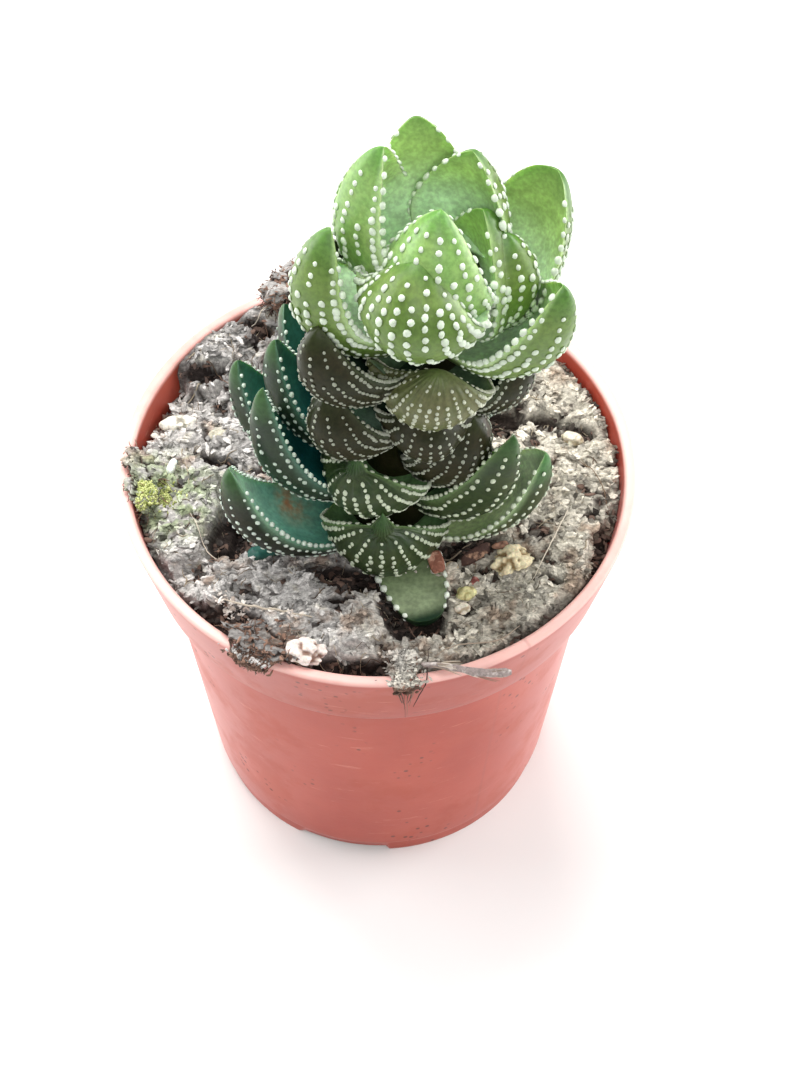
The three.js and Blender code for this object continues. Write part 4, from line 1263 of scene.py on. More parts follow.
# %% [markdown]
# ## Colour of the mix
# Dry peat is grey, and straw coloured towards the right, with brown and pale patches. Algae tinge the
# left edge green. Creases and hollows get a painted shade that is nearly black, whatever lies about them.

# %% Paint the mix
MOSS_MIDDLE = (-34.5, -5.0)
# Strength of the painted shade in creases and hollows
CREASE_DARK = 0.96


def soil_colors_group():
    """Grey that drifts to straw from left to right, patchy, green near the moss, painted shade in creases.
    """
    tree, given, result = new_group(
        "soil_colors", [("Crease", "Float", 0.0)], [("Color", "Color"), ("Height", "Float")])
    place = object_place(tree)
    across = one_axis(tree, place, "X")
    drift = maths(tree, "ADD", across, times(tree, noise(tree, 16.0, 2.0), 20 * MM))
    warm = reach(tree, drift, 0.0, 24 * MM)
    grey = blend(tree, linear(190, 186, 183), linear(202, 195, 181), warm)
    brown = reach(tree, noise(tree, 6.0, 4.0, offset=(1, 2, 3)), 0.52, 0.68)
    color = blend(tree, grey, linear(144, 118, 98), times(tree, brown, 0.7))
    color = blend(tree, color, linear(206, 200, 188), reach(tree, noise(tree, 3.0, 4.0), 0.56, 0.7))
    spot = (MOSS_MIDDLE[0] * MM, MOSS_MIDDLE[1] * MM, SOIL_LEVEL * MM)
    far = add_node(tree, "ShaderNodeVectorMath", {0: place, 1: spot}, operation="DISTANCE")
    patches = reach(tree, noise(tree, 2.4, 4.0), 0.36, 0.56)
    algae = times(tree, reach(tree, far.outputs["Value"], 13 * MM, 4 * MM), patches)
    color = blend(tree, color, linear(150, 168, 118), times(tree, algae, 0.7))
    color = blend(tree, color, linear(36, 24, 21), times(tree, given.outputs["Crease"], CREASE_DARK))
    fibre = noise(tree, 1.1, 4.0, 0.65, stretch=(1.0, 3.5, 1.0))
    color = shaded(tree, color, reach(tree, fibre, 0.34, 0.66, 0.7, 1.18))
    grain = reach(tree, noise(tree, 0.6, 3.0, 0.6), 0.34, 0.66, 0.74, 1.2)
    color = shaded(tree, color, grain)
    tree.links.new(color, result.inputs["Color"])
    tree.links.new(noise(tree, 0.5, 5.0, 0.7), result.inputs["Height"])
    return tree


soil_colors = soil_colors_group()


def soil_material(name, toned=False):
    """The mix's colours, by the crease that the mesh holds; loose crumbs have a tone of their own."""
    material, tree, shader = new_material(name)
    group = use_group(tree, soil_colors, {"Crease": attribute(tree, "crease")})
    color = group.outputs["Color"]
    if toned:
        color = shaded(tree, color, reach(tree, attribute(tree, "tone"), 0.0, 1.0, 0.45, 1.4))
    tree.links.new(color, shader.inputs["Base Color"])
    tree.links.new(bump(tree, group.outputs["Height"], 0.8, 0.3), shader.inputs["Normal"])
    shader.inputs["Roughness"].default_value = 0.95
    shader.inputs["Specular IOR Level"].default_value = 0.15
    return material


soil_piece.data.materials.append(soil_material("soil_crust"))
print("mix painted with", soil_piece.data.materials[0].name)

# %% [markdown]
# ## Loose crumbs, rootlets and lumps
# Thousands of peat crumbs and flat flakes lie on the crust. Each is an icosahedron with corners,
# size and turn of its own. Lumps are balls whose skin billows like the crust: some lie in the mix,
# and some were spilled over the lip. Rootlets and straws are thin tubes that follow the ground.

# %% Turn one small ball into many crumbs
CRUMB_COUNT, FLAKE_COUNT, CRUMB_REACH = 2000, 5200, 39.6


def ball(subdivisions):
    """Points and triangles of a unit ball, from an icosahedron."""
    mesh = bmesh.new()
    bmesh.ops.create_icosphere(mesh, subdivisions=subdivisions, radius=1.0)
    points = np.array([vertex.co for vertex in mesh.verts])
    faces = np.array([[vertex.index for vertex in face.verts] for face in mesh.faces])
    mesh.free()
    return points, faces


def random_turns(count, rng):
    """Rotation matrices from random unit quaternions."""
    q = rng.normal(size=(count, 4))
    w, x, y, z = (q / np.linalg.norm(q, axis=1, keepdims=True)).T
    return np.stack([
        np.stack([1 - 2 * (y * y + z * z), 2 * (x * y - z * w), 2 * (x * z + y * w)], -1),
        np.stack([2 * (x * y + z * w), 1 - 2 * (x * x + z * z), 2 * (y * z - x * w)], -1),
        np.stack([2 * (x * z - y * w), 2 * (y * z + x * w), 1 - 2 * (x * x + y * y)], -1)], 1)


def keep_off_pot(points):
    """Points that would lie in the wall move inwards to it; what lies on the lip stays."""
    r = np.hypot(points[..., 0], points[..., 1])
    z = points[..., 2]
    over = (r > RIM_RADIUS - LIP_WIDTH) & (z > POT_HEIGHT - 1.5)
    limit = np.where(over, np.inf, inner_radius(z) - 0.1)
    pull = np.minimum(1.0, limit / np.maximum(r, 1e-6))
    return np.stack([points[..., 0] * pull, points[..., 1] * pull, z], -1)


def lying_turns(count, rng, tilt=0.35):
    """Rotation matrices with any heading, tipped out of level by a small random amount."""
    a = rng.uniform(0, 2 * np.pi, count)
    up = unit(np.concatenate([rng.normal(0, tilt, (count, 2)), np.ones((count, 1))], 1))
    along = unit(np.cross(up, np.stack([np.sin(a), -np.cos(a), 0 * a], -1)))
    return np.stack([along, np.cross(up, along), up], -1)


def crumb_piece(name, places, sizes, rng, material, crease=0.1, flat=True):
    """One piece of many crumbs: an icosahedron, roughened corner by corner, scaled and turned."""
    points, faces = ball(1)
    count = len(places)
    rough = 1 + (0.3 if flat else 0.22) * rng.uniform(-1, 1, (count, len(points), 1))
    low, high = ((0.9, 0.25, 0.12), (1.0, 0.6, 0.3)) if flat else (0.6, 1.0)
    shares = rng.uniform(low, high, (count, 3))[:, None]
    turns = lying_turns(count, rng) if flat else random_turns(count, rng)
    shapes = np.einsum("nij,npj->npi", turns, points * rough * shares)
    placed = keep_off_pot(places[:, None, :] + shapes * sizes[:, None, None])
    tone = np.repeat(rng.uniform(0, 1, count), len(points))
    crease = np.repeat(np.broadcast_to(crease, count), len(points))
    piece = make_piece(name, placed, [repeated(faces, count, len(points))],
                       {"tone": tone, "crease": crease}, smooth=False)
    piece.data.materials.append(material)
    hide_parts("soil")


def on_soil(x, y, lift):
    """Points at x, y that lie on the crust, lifted by a little, and the crease there."""
    z, crease = soil_height(x, y)
    return np.stack([x, y, z + lift], -1), crease


def disc_points(count, radius, rng):
    """Random x, y in a disc round the pot's axis."""
    angle, r = rng.uniform(0, 2 * np.pi, count), radius * np.sqrt(rng.uniform(0, 1, count))
    return r * np.cos(angle), r * np.sin(angle)


def scattered(count, radius, sizes, lift, rng):
    """Places on the crust, sizes between two limits and the crease; lift is a share of the size."""
    x, y = disc_points(count, radius, rng)
    size = rng.uniform(*sizes, count)
    places, crease = on_soil(x, y, lift * size)
    return places, size, crease


def fibre_material(name, dark, pale):
    """Dry plant fibre: each strand's own tone between two browns."""
    material, tree, shader = new_material(name)
    color = blend(tree, linear(*dark), linear(*pale), attribute(tree, "tone"))
    tree.links.new(color, shader.inputs["Base Color"])
    shader.inputs["Roughness"].default_value = 0.8
    return material


crumb_rng = np.random.default_rng(19)
crumb_material = soil_material("soil_crumbs", toned=True)
places, size, crease = scattered(CRUMB_COUNT, CRUMB_REACH, (0.15, 0.45), 0.25, crumb_rng)
crumb_piece("soil_crumbs", places, size, crumb_rng, crumb_material, crease, flat=False)
places, size, crease = scattered(FLAKE_COUNT, CRUMB_REACH, (0.5, 1.35), 0.12, crumb_rng)
# Flakes take the painted shade of the crease they lie on, and few lie in deep creases.
kept = crease < crumb_rng.uniform(0.5, 1.5, len(size))
crumb_piece("soil_flakes", places[kept], size[kept], crumb_rng, crumb_material, 0.95 * crease[kept])
print("crumbs:", CRUMB_COUNT, "flakes:", int(kept.sum()))

# %% Lumps of mix, some of them spilled on the lip
# Azimuth, radius, height and size of each lump; the last one tops the heap at the back left
LUMPS = [
    (-30, 38.0, 75.4, 4.0), (-23, 38.9, 75.6, 3.4), (-90, 38.6, 75.7, 3.0), (-82, 38.6, 75.7, 2.8),
    (-157, 38.6, 76.6, 4.1), (-156, 38.4, 79.4, 3.6), (10, 35.6, 73.4, 3.4), (62, 35.5, 73, 3.6),
    (95, 27, 72.4, 3.8), (140, 33, 72.6, 3.6), (-130, 30, 73.2, 4.2), (-50, 31, 72.8, 3.8),
    (-156.5, 38.2, 82.0, 3.4),
]
# How brown each lump is that was spilled on the lip at the front and the back left
BROWN_LUMPS = {0: 0.55, 1: 0.55, 4: 0.3, 5: 0.25, 12: 0.2}
# Lumps that lie in the mix need fewer faces.
SUNKEN_LUMPS = range(6, 12)
# Radius where lumps begin and have come to lie on the lip, their height over it, and how flat they lie
LIP_FROM, LIP_TO, LIP_CLEARANCE, LIP_SQUASH = 38.9, 40.3, 0.08, 0.6


def rest_on_lip(points, bottom):
    """Lifts what reaches out over the lip: its bottom to the lip's top, flatter than it was."""
    r = np.hypot(points[:, 0], points[:, 1])
    over = smoothstep(LIP_FROM, LIP_TO, r)
    lying = POT_HEIGHT + LIP_CLEARANCE + LIP_SQUASH * (points[:, 2] - bottom)
    points[:, 2] = points[:, 2] * (1 - over) + np.maximum(lying, points[:, 2]) * over
    return points


def lump_points(middle, half, turn, seed, billows=0.30, fineness=5):
    """A ball stretched to the half sizes, pushed in and out along its rays by billows.

    Returns its points, its faces and how deep a crease each point lies in.
    """
    points, faces = ball(fineness)
    shaped = points * np.array(half)
    rough = (0.9 * billow(shaped + 50 * seed, 2.4, seed) + 0.5 * billow(shaped, 1.1, seed + 1)
             + 0.4 * value_noise(shaped, 0.6, seed + 2))
    shaped = shaped * (1 + billows * rough[:, None])
    placed = shaped @ turn_about_z(turn).T + np.array(middle)
    return placed, faces, smoothstep(0.1, -0.5, rough)


def make_lump(n, azimuth, radius, height, size):
    """Lump n, low and wide, settled on the lip where it reaches over it; returns its points."""
    middle = polar(azimuth, radius, height - 0.3 * size)
    half = (1.1 * size, 0.85 * size, 0.52 * size)
    points, faces, crease = lump_points(
        middle, half, azimuth + 25, 200 + n, fineness=4 if n in SUNKEN_LUMPS else 5)
    points = rest_on_lip(points, points[:, 2].min())
    # Creases of a lump get painted shade; a spilled lump is also browner all over.
    crease = np.maximum(crease, BROWN_LUMPS.get(n, 0.05))
    piece = make_piece(f"soil_lump_{n}", points, [faces], {"crease": crease})
    piece.data.materials.append(lump_material)
    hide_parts("soil")
    return points


lump_material = soil_material("soil_lumps")
lump_skins = [make_lump(n, *lump) for n, lump in enumerate(LUMPS)]
print("lumps:", len(LUMPS))

# %% Rootlets and straws
ROOTLET_COUNT, ROOTLET_REACH, PATH_REACH = 420, 39.0, 39.4
STRAW_STEPS = 24


def strands(name, paths, radii, material, node="soil"):
    """Thin four-sided tubes along paths (count, steps, 3), thinner to their ends, as one piece."""
    count, steps = paths.shape[:2]
    along = unit(np.gradient(paths, axis=1))
    side = unit(np.cross(along, np.array([0.31, 0.17, 0.93])))
    over = np.cross(along, side)
    taper = 0.35 + 0.65 * np.sin(np.pi * np.linspace(0.08, 0.92, steps))[None, :, None]
    angle = np.linspace(0, 2 * np.pi, 4, endpoint=False)
    rings = paths[:, :, None, :] + (radii[:, None, None] * taper)[..., None] * (
        np.cos(angle)[None, None, :, None] * side[:, :, None, :]
        + np.sin(angle)[None, None, :, None] * over[:, :, None, :])
    quads = ring_faces(steps, 4, shut=False)[0]
    caps = np.array([[3, 2, 1, 0], [4 * steps - 4, 4 * steps - 3, 4 * steps - 2, 4 * steps - 1]])
    faces = repeated(np.concatenate([quads, caps]), count, 4 * steps)
    tone = np.repeat(np.random.default_rng(count).uniform(0, 1, count), 4 * steps)
    piece = make_piece(name, rings, [faces], {"tone": tone})
    piece.data.materials.append(material)
    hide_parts(node)


def ground_paths(x, y, length, rng, steps=9, lift=0.12):
    """Wandering paths that start at x, y and keep just above the mix."""
    start = rng.uniform(0, 2 * np.pi, (len(x), 1))
    heading = start + np.cumsum(rng.normal(0, 0.28, (len(x), steps)), 1)
    step = (length / steps)[:, None]
    px = x[:, None] + np.cumsum(step * np.cos(heading), 1)
    py = y[:, None] + np.cumsum(step * np.sin(heading), 1)
    pull = np.minimum(1, PATH_REACH / np.hypot(px, py))
    px, py = px * pull, py * pull
    pz = soil_height(px, py)[0]
    pz = np.maximum(pz, (np.roll(pz, 1, 1) + np.roll(pz, -1, 1)) / 2) + lift
    rise = np.linspace(-1, 1, steps)[None, :] ** 2 * rng.uniform(-0.2, 0.5, (len(x), 1))
    return np.stack([px, py, pz - rise], -1)


rootlet_material = fibre_material("rootlets", (84, 66, 52), (186, 172, 148))
x, y = disc_points(ROOTLET_COUNT, ROOTLET_REACH, crumb_rng)
paths = ground_paths(x, y, crumb_rng.uniform(1.5, 6.0, len(x)), crumb_rng)
strands("rootlets", paths, crumb_rng.uniform(0.05, 0.11, len(x)), rootlet_material)

# Name, radius and route of each strand that stands out; a route point is x, y and height above the
# mix, in mm
NAMED_STRANDS = [
    ("pale_root", 0.24, [(-24.4, -26.0, 0.4), (-20.5, -27.4, 0.6), (-15.5, -28.4, 0.4),
                         (-10.5, -29.4, 0.3)]),
    ("straw_right", 0.10, [(30.6, -8.7, 0.9), (28.6, -13.3, 1.0), (26.2, -18.2, 0.8),
                           (24.2, -22.8, 0.5)]),
    ("straw_left", 0.10, [(-30.5, -8.0, 0.5), (-27.6, -14.5, 1.4), (-24.2, -16.8, 0.8)]),
    ("root_by_bark", 0.22, [(8.2, -14.8, 0.6), (10.4, -16.0, 1.0), (13.2, -15.9, 0.8)]),
    ("root_front", 0.14, [(8.5, -36.8, 0.6), (13.0, -34.9, 0.9), (18.5, -33.8, 0.6),
                          (22.0, -31.0, 0.4)]),
    ("root_back", 0.16, [(-21.5, 31.0, 0.6), (-15.0, 35.4, 1.2), (-9.0, 36.6, 0.6)]),
    ("root_far_right", 0.11, [(33.0, 2.2, 0.4), (36.0, -2.0, 1.0), (37.2, -7.5, 0.5)]),
]


def smooth_route(points, steps):
    """A smooth curve through the points, cut into steps points.

    Each span is a cubic that leaves its ends along the line between their two neighbours.
    """
    p = np.asarray(points, dtype=float)
    p = np.concatenate([[2 * p[0] - p[1]], p, [2 * p[-1] - p[-2]]])
    t = np.linspace(0, len(p) - 3 - 1e-6, steps)
    i = t.astype(int)
    f = (t - i)[:, None]
    a, b, c, d = p[i], p[i + 1], p[i + 2], p[i + 3]
    square = 2 * a - 5 * b + 4 * c - d
    cube = 3 * b - a - 3 * c + d
    return 0.5 * (2 * b + (c - a) * f + square * f ** 2 + cube * f ** 3)


straw_material = fibre_material("straws", (112, 90, 70), (226, 214, 196))
routes = np.stack([smooth_route(route, STRAW_STEPS) for _, _, route in NAMED_STRANDS])
ground = soil_height(routes[..., 0], routes[..., 1])[0]
routes[..., 2] = routes[..., 2] + np.maximum(ground, np.median(ground, axis=1, keepdims=True))
radii = np.array([radius for _, radius, _ in NAMED_STRANDS])
strands("straws", routes, radii, straw_material)
print("rootlets:", ROOTLET_COUNT, "straws:", ", ".join(name for name, _, _ in NAMED_STRANDS))

# %% Crumbs in the hollows and fluff
HOLLOW_CRUMB_COUNT, HOLLOW_CRUMB_REACH, HOLLOW_CRUMB_CREASE = 5200, 39.4, 0.72
# Pieces of fluff by the root's left end, and along it
FLUFF_HEAP, FLUFF_TRAIL = 90, 30
FLUFF_X, FLUFF_Y, FLUFF_SLOPE = -23.4, -26.4, -0.25

# Crumbs in the hollows, brown and angular, darkened with painted shade.
hollow_crumb_rng = np.random.default_rng(47)
places, size, crease = scattered(HOLLOW_CRUMB_COUNT, HOLLOW_CRUMB_REACH, (0.35, 1.0), 0.2, hollow_crumb_rng)
kept = crease > HOLLOW_CRUMB_CREASE
hollow_crumb_material = fibre_material("shaded_hollow_peat", (36, 23, 19), (112, 88, 76))
crumb_piece("hollow_crumbs", places[kept], size[kept], hollow_crumb_rng, hollow_crumb_material)

# Fluff of split peat, nearly white, lies by the pale root.
fluff_rng = np.random.default_rng(41)
fluff_x = np.concatenate([
    fluff_rng.normal(FLUFF_X, 1.4, FLUFF_HEAP), fluff_rng.uniform(-21, -12, FLUFF_TRAIL)])
line = FLUFF_Y + FLUFF_SLOPE * (fluff_x - FLUFF_X)
spread = np.where(np.arange(len(fluff_x)) < FLUFF_HEAP, 0.7, 0.3)
fluff_y = line + fluff_rng.normal(0, 1, len(fluff_x)) * spread
places, _ = on_soil(fluff_x, fluff_y, 0.3)
fluff_material = fibre_material("peat_fluff", (176, 160, 150), (244, 236, 228))
crumb_piece("peat_fluff", places, fluff_rng.uniform(0.3, 0.7, len(fluff_x)), fluff_rng, fluff_material)
print("hollow crumbs:", int(kept.sum()), "fluff:", len(fluff_x))

# %% Fray the lumps and hang roots over the lip
FLAKES_EACH, TUFT_REACH = 240, 41.6
# Azimuth, reach in from the lip, fall over it, half width at the top and the bottom, flakes and
# threads of each ragged mat that hangs over the lip, in mm
MATS = [
    ("root_mat", 5.4, 6.5, 9.5, 3.0, 0.7, 900, 12), ("spill_mat", -28.5, 4.0, 3.4, 4.6, 2.6, 560, 120),
]
# Where along a mat it bends over the lip, and the points of a thread
MAT_BEND, THREAD_POINTS = 0.45, 12


def tufts(starts, middles, length, rng, steps=7):
    """Short curling paths that leave their starts outward from a middle and sag."""
    heading = unit(unit(starts - middles) + rng.normal(0, 0.5, starts.shape))
    bend = rng.normal(0, 0.35, (len(starts), steps, 3)).cumsum(1)
    moves = unit(heading[:, None] + bend - np.array([0, 0, 0.25])) * (length / steps)[:, None, None]
    paths = starts[:, None] + moves.cumsum(1)
    r = np.hypot(paths[..., 0], paths[..., 1])
    pull = np.minimum(1, TUFT_REACH / r)[..., None]
    return keep_off_pot(paths * np.concatenate([pull, pull, np.ones_like(pull)], -1))


def mat_points(azimuth, reach_in, fall, wide_top, wide_bottom, across, t, off):
    """Points on a mat: t runs in from the mix, over the lip at its bend and down the collar."""
    middle = (wide_top + wide_bottom) / 2
    wide = np.interp(t, [0, MAT_BEND, 0.65, 1], [1.8 * wide_top, wide_top, middle, wide_bottom])
    out = smoothstep(0.0, 0.5, t)
    r = RIM_RADIUS + 0.4 - reach_in * (1 - out) - 0.09 * fall * smoothstep(0.5, 1.0, t) + 0.5 * off
    z = POT_HEIGHT + 0.25 + 0.3 * off - fall * np.maximum(t - MAT_BEND, 0) / (1 - MAT_BEND)
    return polar(azimuth + np.degrees(across * wide / RIM_RADIUS), r, z)


def hang_mat(name, azimuth, reach_in, fall, wide_top, wide_bottom, flakes, threads, rng):
    """Flakes in loose clumps over the lip, brown where they hang, and threads that run through them."""
    shape = (azimuth, reach_in, fall, wide_top, wide_bottom)
    t = rng.uniform(0, 1, flakes) * rng.uniform(0.6, 1, flakes)
    clumps = np.round(rng.normal(0, 1.0, flakes)) * 0.3 + rng.normal(0, 0.35, flakes)
    spots = mat_points(*shape, clumps * (0.6 + 0.4 * t), t, rng.uniform(0, 1, flakes))
    size = rng.uniform(0.2, 0.7, flakes)
    hangs = t >= MAT_BEND
    crumb_piece(name + "_top", spots[~hangs], size[~hangs], rng, crumb_material)
    crumb_piece(name + "_hang", spots[hangs], size[hangs], rng, spill_material)
    t = np.linspace(0, 1, THREAD_POINTS)[None] * rng.uniform(0.5, 1.05, (threads, 1))
    across = rng.normal(0, 0.3, (threads, 1))
    across = across + 0.05 * rng.normal(0, 1, (threads, THREAD_POINTS)).cumsum(1)
    off = 0.5 + 0.35 * rng.normal(0, 1, (threads, THREAD_POINTS)).cumsum(1) / 3
    paths = mat_points(*shape, across, t, np.clip(off, 0, 0.9))
    strands(name, paths, rng.uniform(0.06, 0.13, threads), spill_fibre_material)


spill_material = fibre_material("spilled_peat", (40, 24, 19), (150, 116, 98))
spill_fibre_material = fibre_material("spilled_fibres", (50, 32, 26), (142, 110, 92))
fray_rng = np.random.default_rng(43)
picks = [skin[fray_rng.integers(0, len(skin), FLAKES_EACH)] for skin in lump_skins]
# Name, material, whether it is for the brown lumps, and flakes and tufts on each lump
for name, material, brown, flakes, curls in (
        ("spill", spill_material, True, FLAKES_EACH, 60),
        ("lump", crumb_material, False, FLAKES_EACH // 2, 30)):
    chosen = [pick[:flakes] for n, pick in enumerate(picks) if (n in BROWN_LUMPS) == brown]
    spots = np.concatenate(chosen)
    size = fray_rng.uniform(0.25, 0.8, len(spots))
    creases = fray_rng.uniform(0.0, 0.3, len(spots))
    crumb_piece(name + "_flakes", spots, size, fray_rng, material, creases)
    starts = np.concatenate([pick[:curls] for pick in chosen])
    middles = np.repeat([pick.mean(0) for pick in chosen], curls, 0)
    paths = tufts(starts, middles, fray_rng.uniform(1.0, 3.4, len(starts)), fray_rng)
    strands(name + "_fibres", paths, fray_rng.uniform(0.05, 0.12, len(starts)), spill_fibre_material)
for mat in MATS:
    hang_mat(*mat, fray_rng)
print("frayed lumps:", len(LUMPS), "mats:", len(MATS))

# %% [markdown]
# ## Moss
# A cushion of bright moss grows at the left edge and on the lump that lies there: 1,400 shoots, each
# a small pointed cone that leans its own way.

# %% Plant the moss
SHOOT_COUNT, SHOOT_SIDES, MOSS_REACH = 1400, 5, 38.8
MOSSY_LUMP, MOSS_ON_LUMP = 3, 520
# x, y, radius and share of the shoots of each patch
MOSS_PATCHES = np.array([
    (-37.2, -3.6, 1.7, 0.36), (-36.2, -1.4, 1.4, 0.2), (-35.6, -5.2, 1.6, 0.26), (-34.4, -4.2, 1.7, 0.18)])


def make_moss():
    """Cones with a foot ring, a middle ring and a tip; height and tone are drawn for each."""
    rng = np.random.default_rng(31)
    pick = rng.choice(len(MOSS_PATCHES), SHOOT_COUNT, p=MOSS_PATCHES[:, 3])
    middle_x, middle_y, spread = MOSS_PATCHES[pick, :3].T
    x = middle_x + rng.normal(0, 1, SHOOT_COUNT) * spread * 0.55
    y = middle_y + rng.normal(0, 1, SHOOT_COUNT) * spread * 0.55
    pull = np.minimum(1, MOSS_REACH / np.hypot(x, y))
    foot = on_soil(x * pull, y * pull, -0.1)[0]
    skin = lump_skins[MOSSY_LUMP]
    upper = skin[(skin[:, 2] > skin[:, 2].mean() - 0.2) & (skin[:, 0] > -39.0)]
    foot[:MOSS_ON_LUMP] = upper[rng.integers(0, len(upper), MOSS_ON_LUMP)] - (0, 0, 0.1)
    tall = rng.uniform(0.3, 0.8, (SHOOT_COUNT, 1))
    aside = rng.normal(0, 0.35, (SHOOT_COUNT, 2))
    lean = np.concatenate([aside, np.ones((SHOOT_COUNT, 1))], 1) * tall
    wide = rng.uniform(0.12, 0.26, (SHOOT_COUNT, 1, 1))
    angle = np.linspace(0, 2 * np.pi, SHOOT_SIDES, endpoint=False)
    ring = np.stack([np.cos(angle), np.sin(angle), 0 * angle], -1)[None]
    points = np.concatenate([foot[:, None] + 0.6 * wide * ring,
                             (foot + 0.5 * lean)[:, None] + wide * ring, (foot + lean)[:, None]], 1)
    tone = np.repeat(rng.uniform(0, 1, SHOOT_COUNT), points.shape[1])
    piece = make_piece("moss", points, dome_faces(SHOOT_COUNT, SHOOT_SIDES, 2), {"tone": tone})
    piece.data.materials.append(fibre_material("moss", (118, 130, 52), (222, 226, 158)))
    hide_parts("soil")


make_moss()
print("moss shoots:", SHOOT_COUNT)

# %% [markdown]
# ## Stones, grit and bark
# Each loose piece keeps the place and size of its solid and gets a broken surface: strong billows
# for the crumbly ones, weak ones for the smooth, and some are pressed flat on top. The bark chips are
# ridged along their length, and the twig is ragged towards one end.

# %% Shape the loose pieces
# Name, middle, half sizes, turn, strength of the billows, flatness of the top, colours and slot
STONES = [
    ("stone_white", (-33.0, 11.6, 72.4), (2.9, 1.6, 1.2), 8, 0.24, 0.4,
     (150, 144, 130), (222, 218, 206), "white_stone"),
    ("stone_flake", (-34.0, 2.0, 73.2), (0.8, 1.5, 0.7), -15, 0.16, 0.2,
     (176, 180, 172), (226, 230, 222), "white_stone"),
    ("stone_pale", (32.3, 7.3, 72.9), (2.2, 1.4, 1.2), -25, 0.18, 0.2,
     (170, 156, 130), (216, 208, 188), "pale_grit"),
    ("crumb_yellow", (21.2, -18.0, 73.9), (3.9, 2.5, 1.9), 25, 0.30, 0.0,
     (140, 116, 78), (236, 222, 184), "yellow_grit"),
    ("grit_yellow", (13.9, -24.0, 73.5), (1.9, 1.4, 1.2), 10, 0.22, 0.2,
     (160, 148, 96), (224, 216, 160), "yellow_grit"),
    ("grit_pale", (13.1, -26.9, 73.4), (1.5, 1.1, 0.9), 10, 0.2, 0.3,
     (176, 158, 132), (230, 220, 202), "pale_grit"),
    ("chunk_pale", (-11.4, -36.6, 76.2), (3.6, 2.4, 1.9), -10, 0.32, 0.1,
     (142, 112, 98), (232, 218, 210), "pale_grit"),
]


def mineral_material(name, deep, pale):
    """Deep with painted shade in the creases and pale on the knobs, with a fine grain."""
    material, tree, shader = new_material(name)
    color = blend(tree, linear(*pale), linear(*deep), attribute(tree, "crease"))
    grain = reach(tree, noise(tree, 0.5, 4.0, 0.65), 0.32, 0.68, 0.74, 1.12)
    tree.links.new(shaded(tree, color, grain), shader.inputs["Base Color"])
    tree.links.new(bump(tree, noise(tree, 0.4, 4.0), 0.6, 0.2), shader.inputs["Normal"])
    shader.inputs["Roughness"].default_value = 0.85
    shader.inputs["Subsurface Weight"].default_value = 0.1
    shader.inputs["Subsurface Scale"].default_value = 0.001
    return material


def make_stone(name, middle, half, turn, billows, flat_top, deep, pale, slot):
    """A billowed ball, smaller by what the billows add; the flat top presses it down to a level."""
    seed = 400 + len(name) * 7 + int(abs(middle[0]))
    shrunk = (1 - 0.5 * billows) * np.array(half)
    points, faces, crease = lump_points((0, 0, 0), shrunk, 0, seed, billows)
    level = half[2] * (1 - flat_top)
    points[:, 2] = np.where(points[:, 2] > level, level + 0.12 * (points[:, 2] - level), points[:, 2])
    points = points @ turn_about_z(turn).T + np.array(middle)
    piece = make_piece(name + "_surface", points, [faces], {"crease": crease})
    piece.data.materials.append(mineral_material(name, deep, pale))
    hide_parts("soil" if slot == "soil" else name)


# Name, x, y, half sizes, turn and colours of bits that are part of the mix
BITS = [
    ("pebble_dull", -27.0, 9.6, (1.7, 1.1, 0.8), 10, (150, 144, 128), (196, 190, 172)),
    ("bark_bit", 15.3, -21.6, (1.1, 0.8, 0.6), 60, (120, 64, 58), (196, 134, 124)),
    ("fibre_bit", 11.6, -18.4, (1.5, 1.0, 0.7), 20, (120, 96, 76), (196, 176, 148)),
    ("root_bit", 19.8, -14.6, (1.6, 0.8, 0.7), 10, (96, 66, 54), (168, 126, 104)),
]
BIT_BILLOWS, BIT_FLAT_TOP = 0.26, 0.2
for stone in STONES:
    make_stone(*stone)
for name, x, y, half, turn, deep, pale in BITS:
    ground = float(soil_height(np.array([x]), np.array([y]))[0][0])
    middle = (x, y, ground + 0.3 * half[2])
    make_stone(name, middle, half, turn, BIT_BILLOWS, BIT_FLAT_TOP, deep, pale, "soil")
print("stones:", len(STONES), "bits:", len(BITS))

# %% Shape the bark chips and the twig
# Name, middle, half length and half width, turn, tip and colours
CHIPS = [
    ("bark_inner", (9.1, -19.0, 75.1), (2.2, 1.3), -75, 10, (150, 96, 78), (226, 172, 150)),
    ("bark_outer", (15.5, -16.2, 73.0), (3.1, 1.1), 36, 18, (70, 46, 38), (170, 132, 108)),
]
CHIP_THICKNESS, CHIP_SHRINK = 1.4, 0.94
TWIG_ROUTE = [(6.5, -38.9, 76.1), (10.5, -39.9, 76.75), (15.5, -41.0, 76.7), (20.2, -41.3, 77.3)]
TWIG_RADIUS, TWIG_STEPS, TWIG_SIDES = 0.75, 60, 16
TWIG_FIBRES, FIBRE_STEPS = 40, 14


def bark_material(name, deep, pale):
    """Brown bark with lengthwise grain, pale where it is split."""
    material, tree, shader = new_material(name)
    split = reach(tree, noise(tree, 1.6, 4.0, 0.6), 0.5, 0.66)
    color = blend(tree, linear(*deep), linear(*pale), split)
    grain = reach(tree, noise(tree, 0.5, 3.0), 0.3, 0.7, 0.75, 1.15)
    tree.links.new(shaded(tree, color, grain), shader.inputs["Base Color"])
    tree.links.new(bump(tree, noise(tree, 0.5, 4.0), 0.6, 0.25), shader.inputs["Normal"])
    shader.inputs["Roughness"].default_value = 0.85
    return material


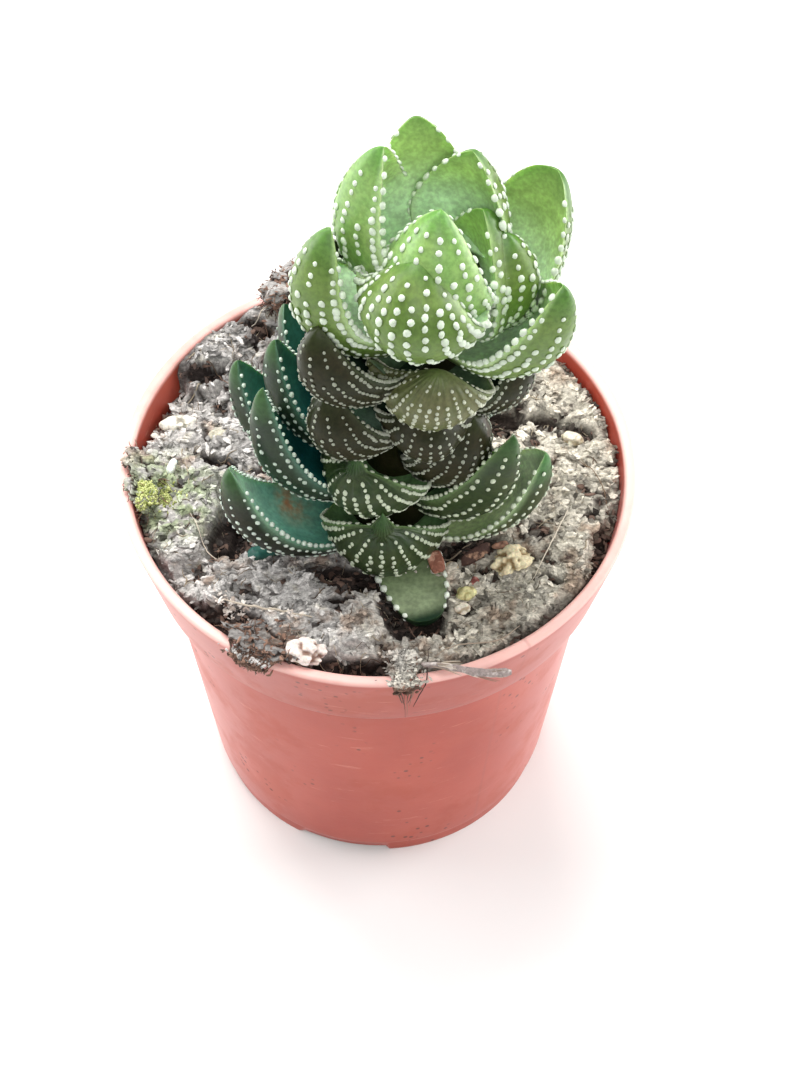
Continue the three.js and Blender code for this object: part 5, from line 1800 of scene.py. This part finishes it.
def make_chip(name, middle, half, turn, tip, deep, pale):
    """A squared ball, ridged along its length, tipped up and turned."""
    points, faces = ball(4)
    shaped = np.sign(points) * np.abs(points) ** 0.6 * (*half, CHIP_THICKNESS / 2)
    ridge = value_noise(shaped * (0.25, 1.6, 1.6), 1.0, 500 + len(name))
    shaped = shaped * (1 + np.stack([0.05 * ridge, 0.12 * ridge, 0.22 * ridge], -1))
    shaped[:, 0] += 0.3 * value_noise(shaped * (0.2, 2.5, 2.5), 1.0, 510) * np.abs(points[:, 0])
    shaped = shaped * CHIP_SHRINK
    t = math.radians(tip)
    tipped = np.array([[1, 0, 0], [0, math.cos(t), -math.sin(t)], [0, math.sin(t), math.cos(t)]])
    placed = shaped @ (turn_about_z(turn) @ tipped).T + np.array(middle)
    piece = make_piece(name + "_surface", placed, [faces])
    piece.data.materials.append(bark_material(name, deep, pale))
    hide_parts(name)


for chip in CHIPS:
    make_chip(*chip)


def make_twig():
    """A tube along the route, thicker and ragged towards its right end, with loose fibres."""
    path = smooth_route(TWIG_ROUTE, TWIG_STEPS)
    along = unit(np.gradient(path, axis=0))
    side = unit(np.cross(along, UP))
    over = np.cross(side, along)
    t = np.linspace(0, 1, TWIG_STEPS)
    radius = TWIG_RADIUS * np.interp(t, [0, 0.04, 0.5, 0.93, 1], [0.35, 0.62, 0.72, 0.98, 0.6])
    angle = np.linspace(0, 2 * np.pi, TWIG_SIDES, endpoint=False)
    rings = path[:, None] + radius[:, None, None] * (
        np.cos(angle)[None, :, None] * side[:, None] + np.sin(angle)[None, :, None] * over[:, None])
    rough = 0.12 * rough_noise(rings * (0.5, 1, 1), 0.9, 3, 601)
    rings = rings + rough[..., None] * (rings - path[:, None]) / radius[:, None, None]
    piece = ring_piece("twig_surface", rings)
    piece.data.materials.append(bark_material("twig", (150, 136, 132), (216, 206, 200)))
    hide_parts("twig")
    rng = np.random.default_rng(37)
    start = rng.integers(6, TWIG_STEPS - FIBRE_STEPS - 2, TWIG_FIBRES)
    paths = path[start[:, None] + np.arange(FIBRE_STEPS)[None, :]]
    off = rng.normal(0, 1, (TWIG_FIBRES, 1, 3)) * (0.3, 0.45, 0.35)
    loose = np.linspace(0.6, 1.5, FIBRE_STEPS)[None, :, None]
    radii = rng.uniform(0.05, 0.11, TWIG_FIBRES)
    strands("twig_fibres", paths + off * loose, radii, straw_material, "twig")


make_twig()
print("chips:", len(CHIPS), "twig fibres:", TWIG_FIBRES)

# %% [markdown]
# ## Floor
# A wide pale sheet under the pot, which isn't part of the object.

# %% Lay the floor
FLOOR_HALF_SIZE = 3000.0


def make_floor():
    """One large square just at the ground."""
    size = FLOOR_HALF_SIZE
    corners = np.array([(-size, -size, 0), (size, -size, 0), (size, size, 0), (-size, size, 0)])
    mesh = bpy.data.meshes.new("floor")
    mesh.from_pydata([tuple(c * MM) for c in corners], [], [(0, 1, 2, 3)])
    floor = bpy.data.objects.new("floor", mesh)
    bpy.context.collection.objects.link(floor)
    material, tree, shader = new_material("floor")
    shader.inputs["Base Color"].default_value = (0.86, 0.86, 0.85, 1)
    shader.inputs["Roughness"].default_value = 0.9
    mesh.materials.append(material)


make_floor()
print("floor:", 2 * FLOOR_HALF_SIZE * MM, "m wide")
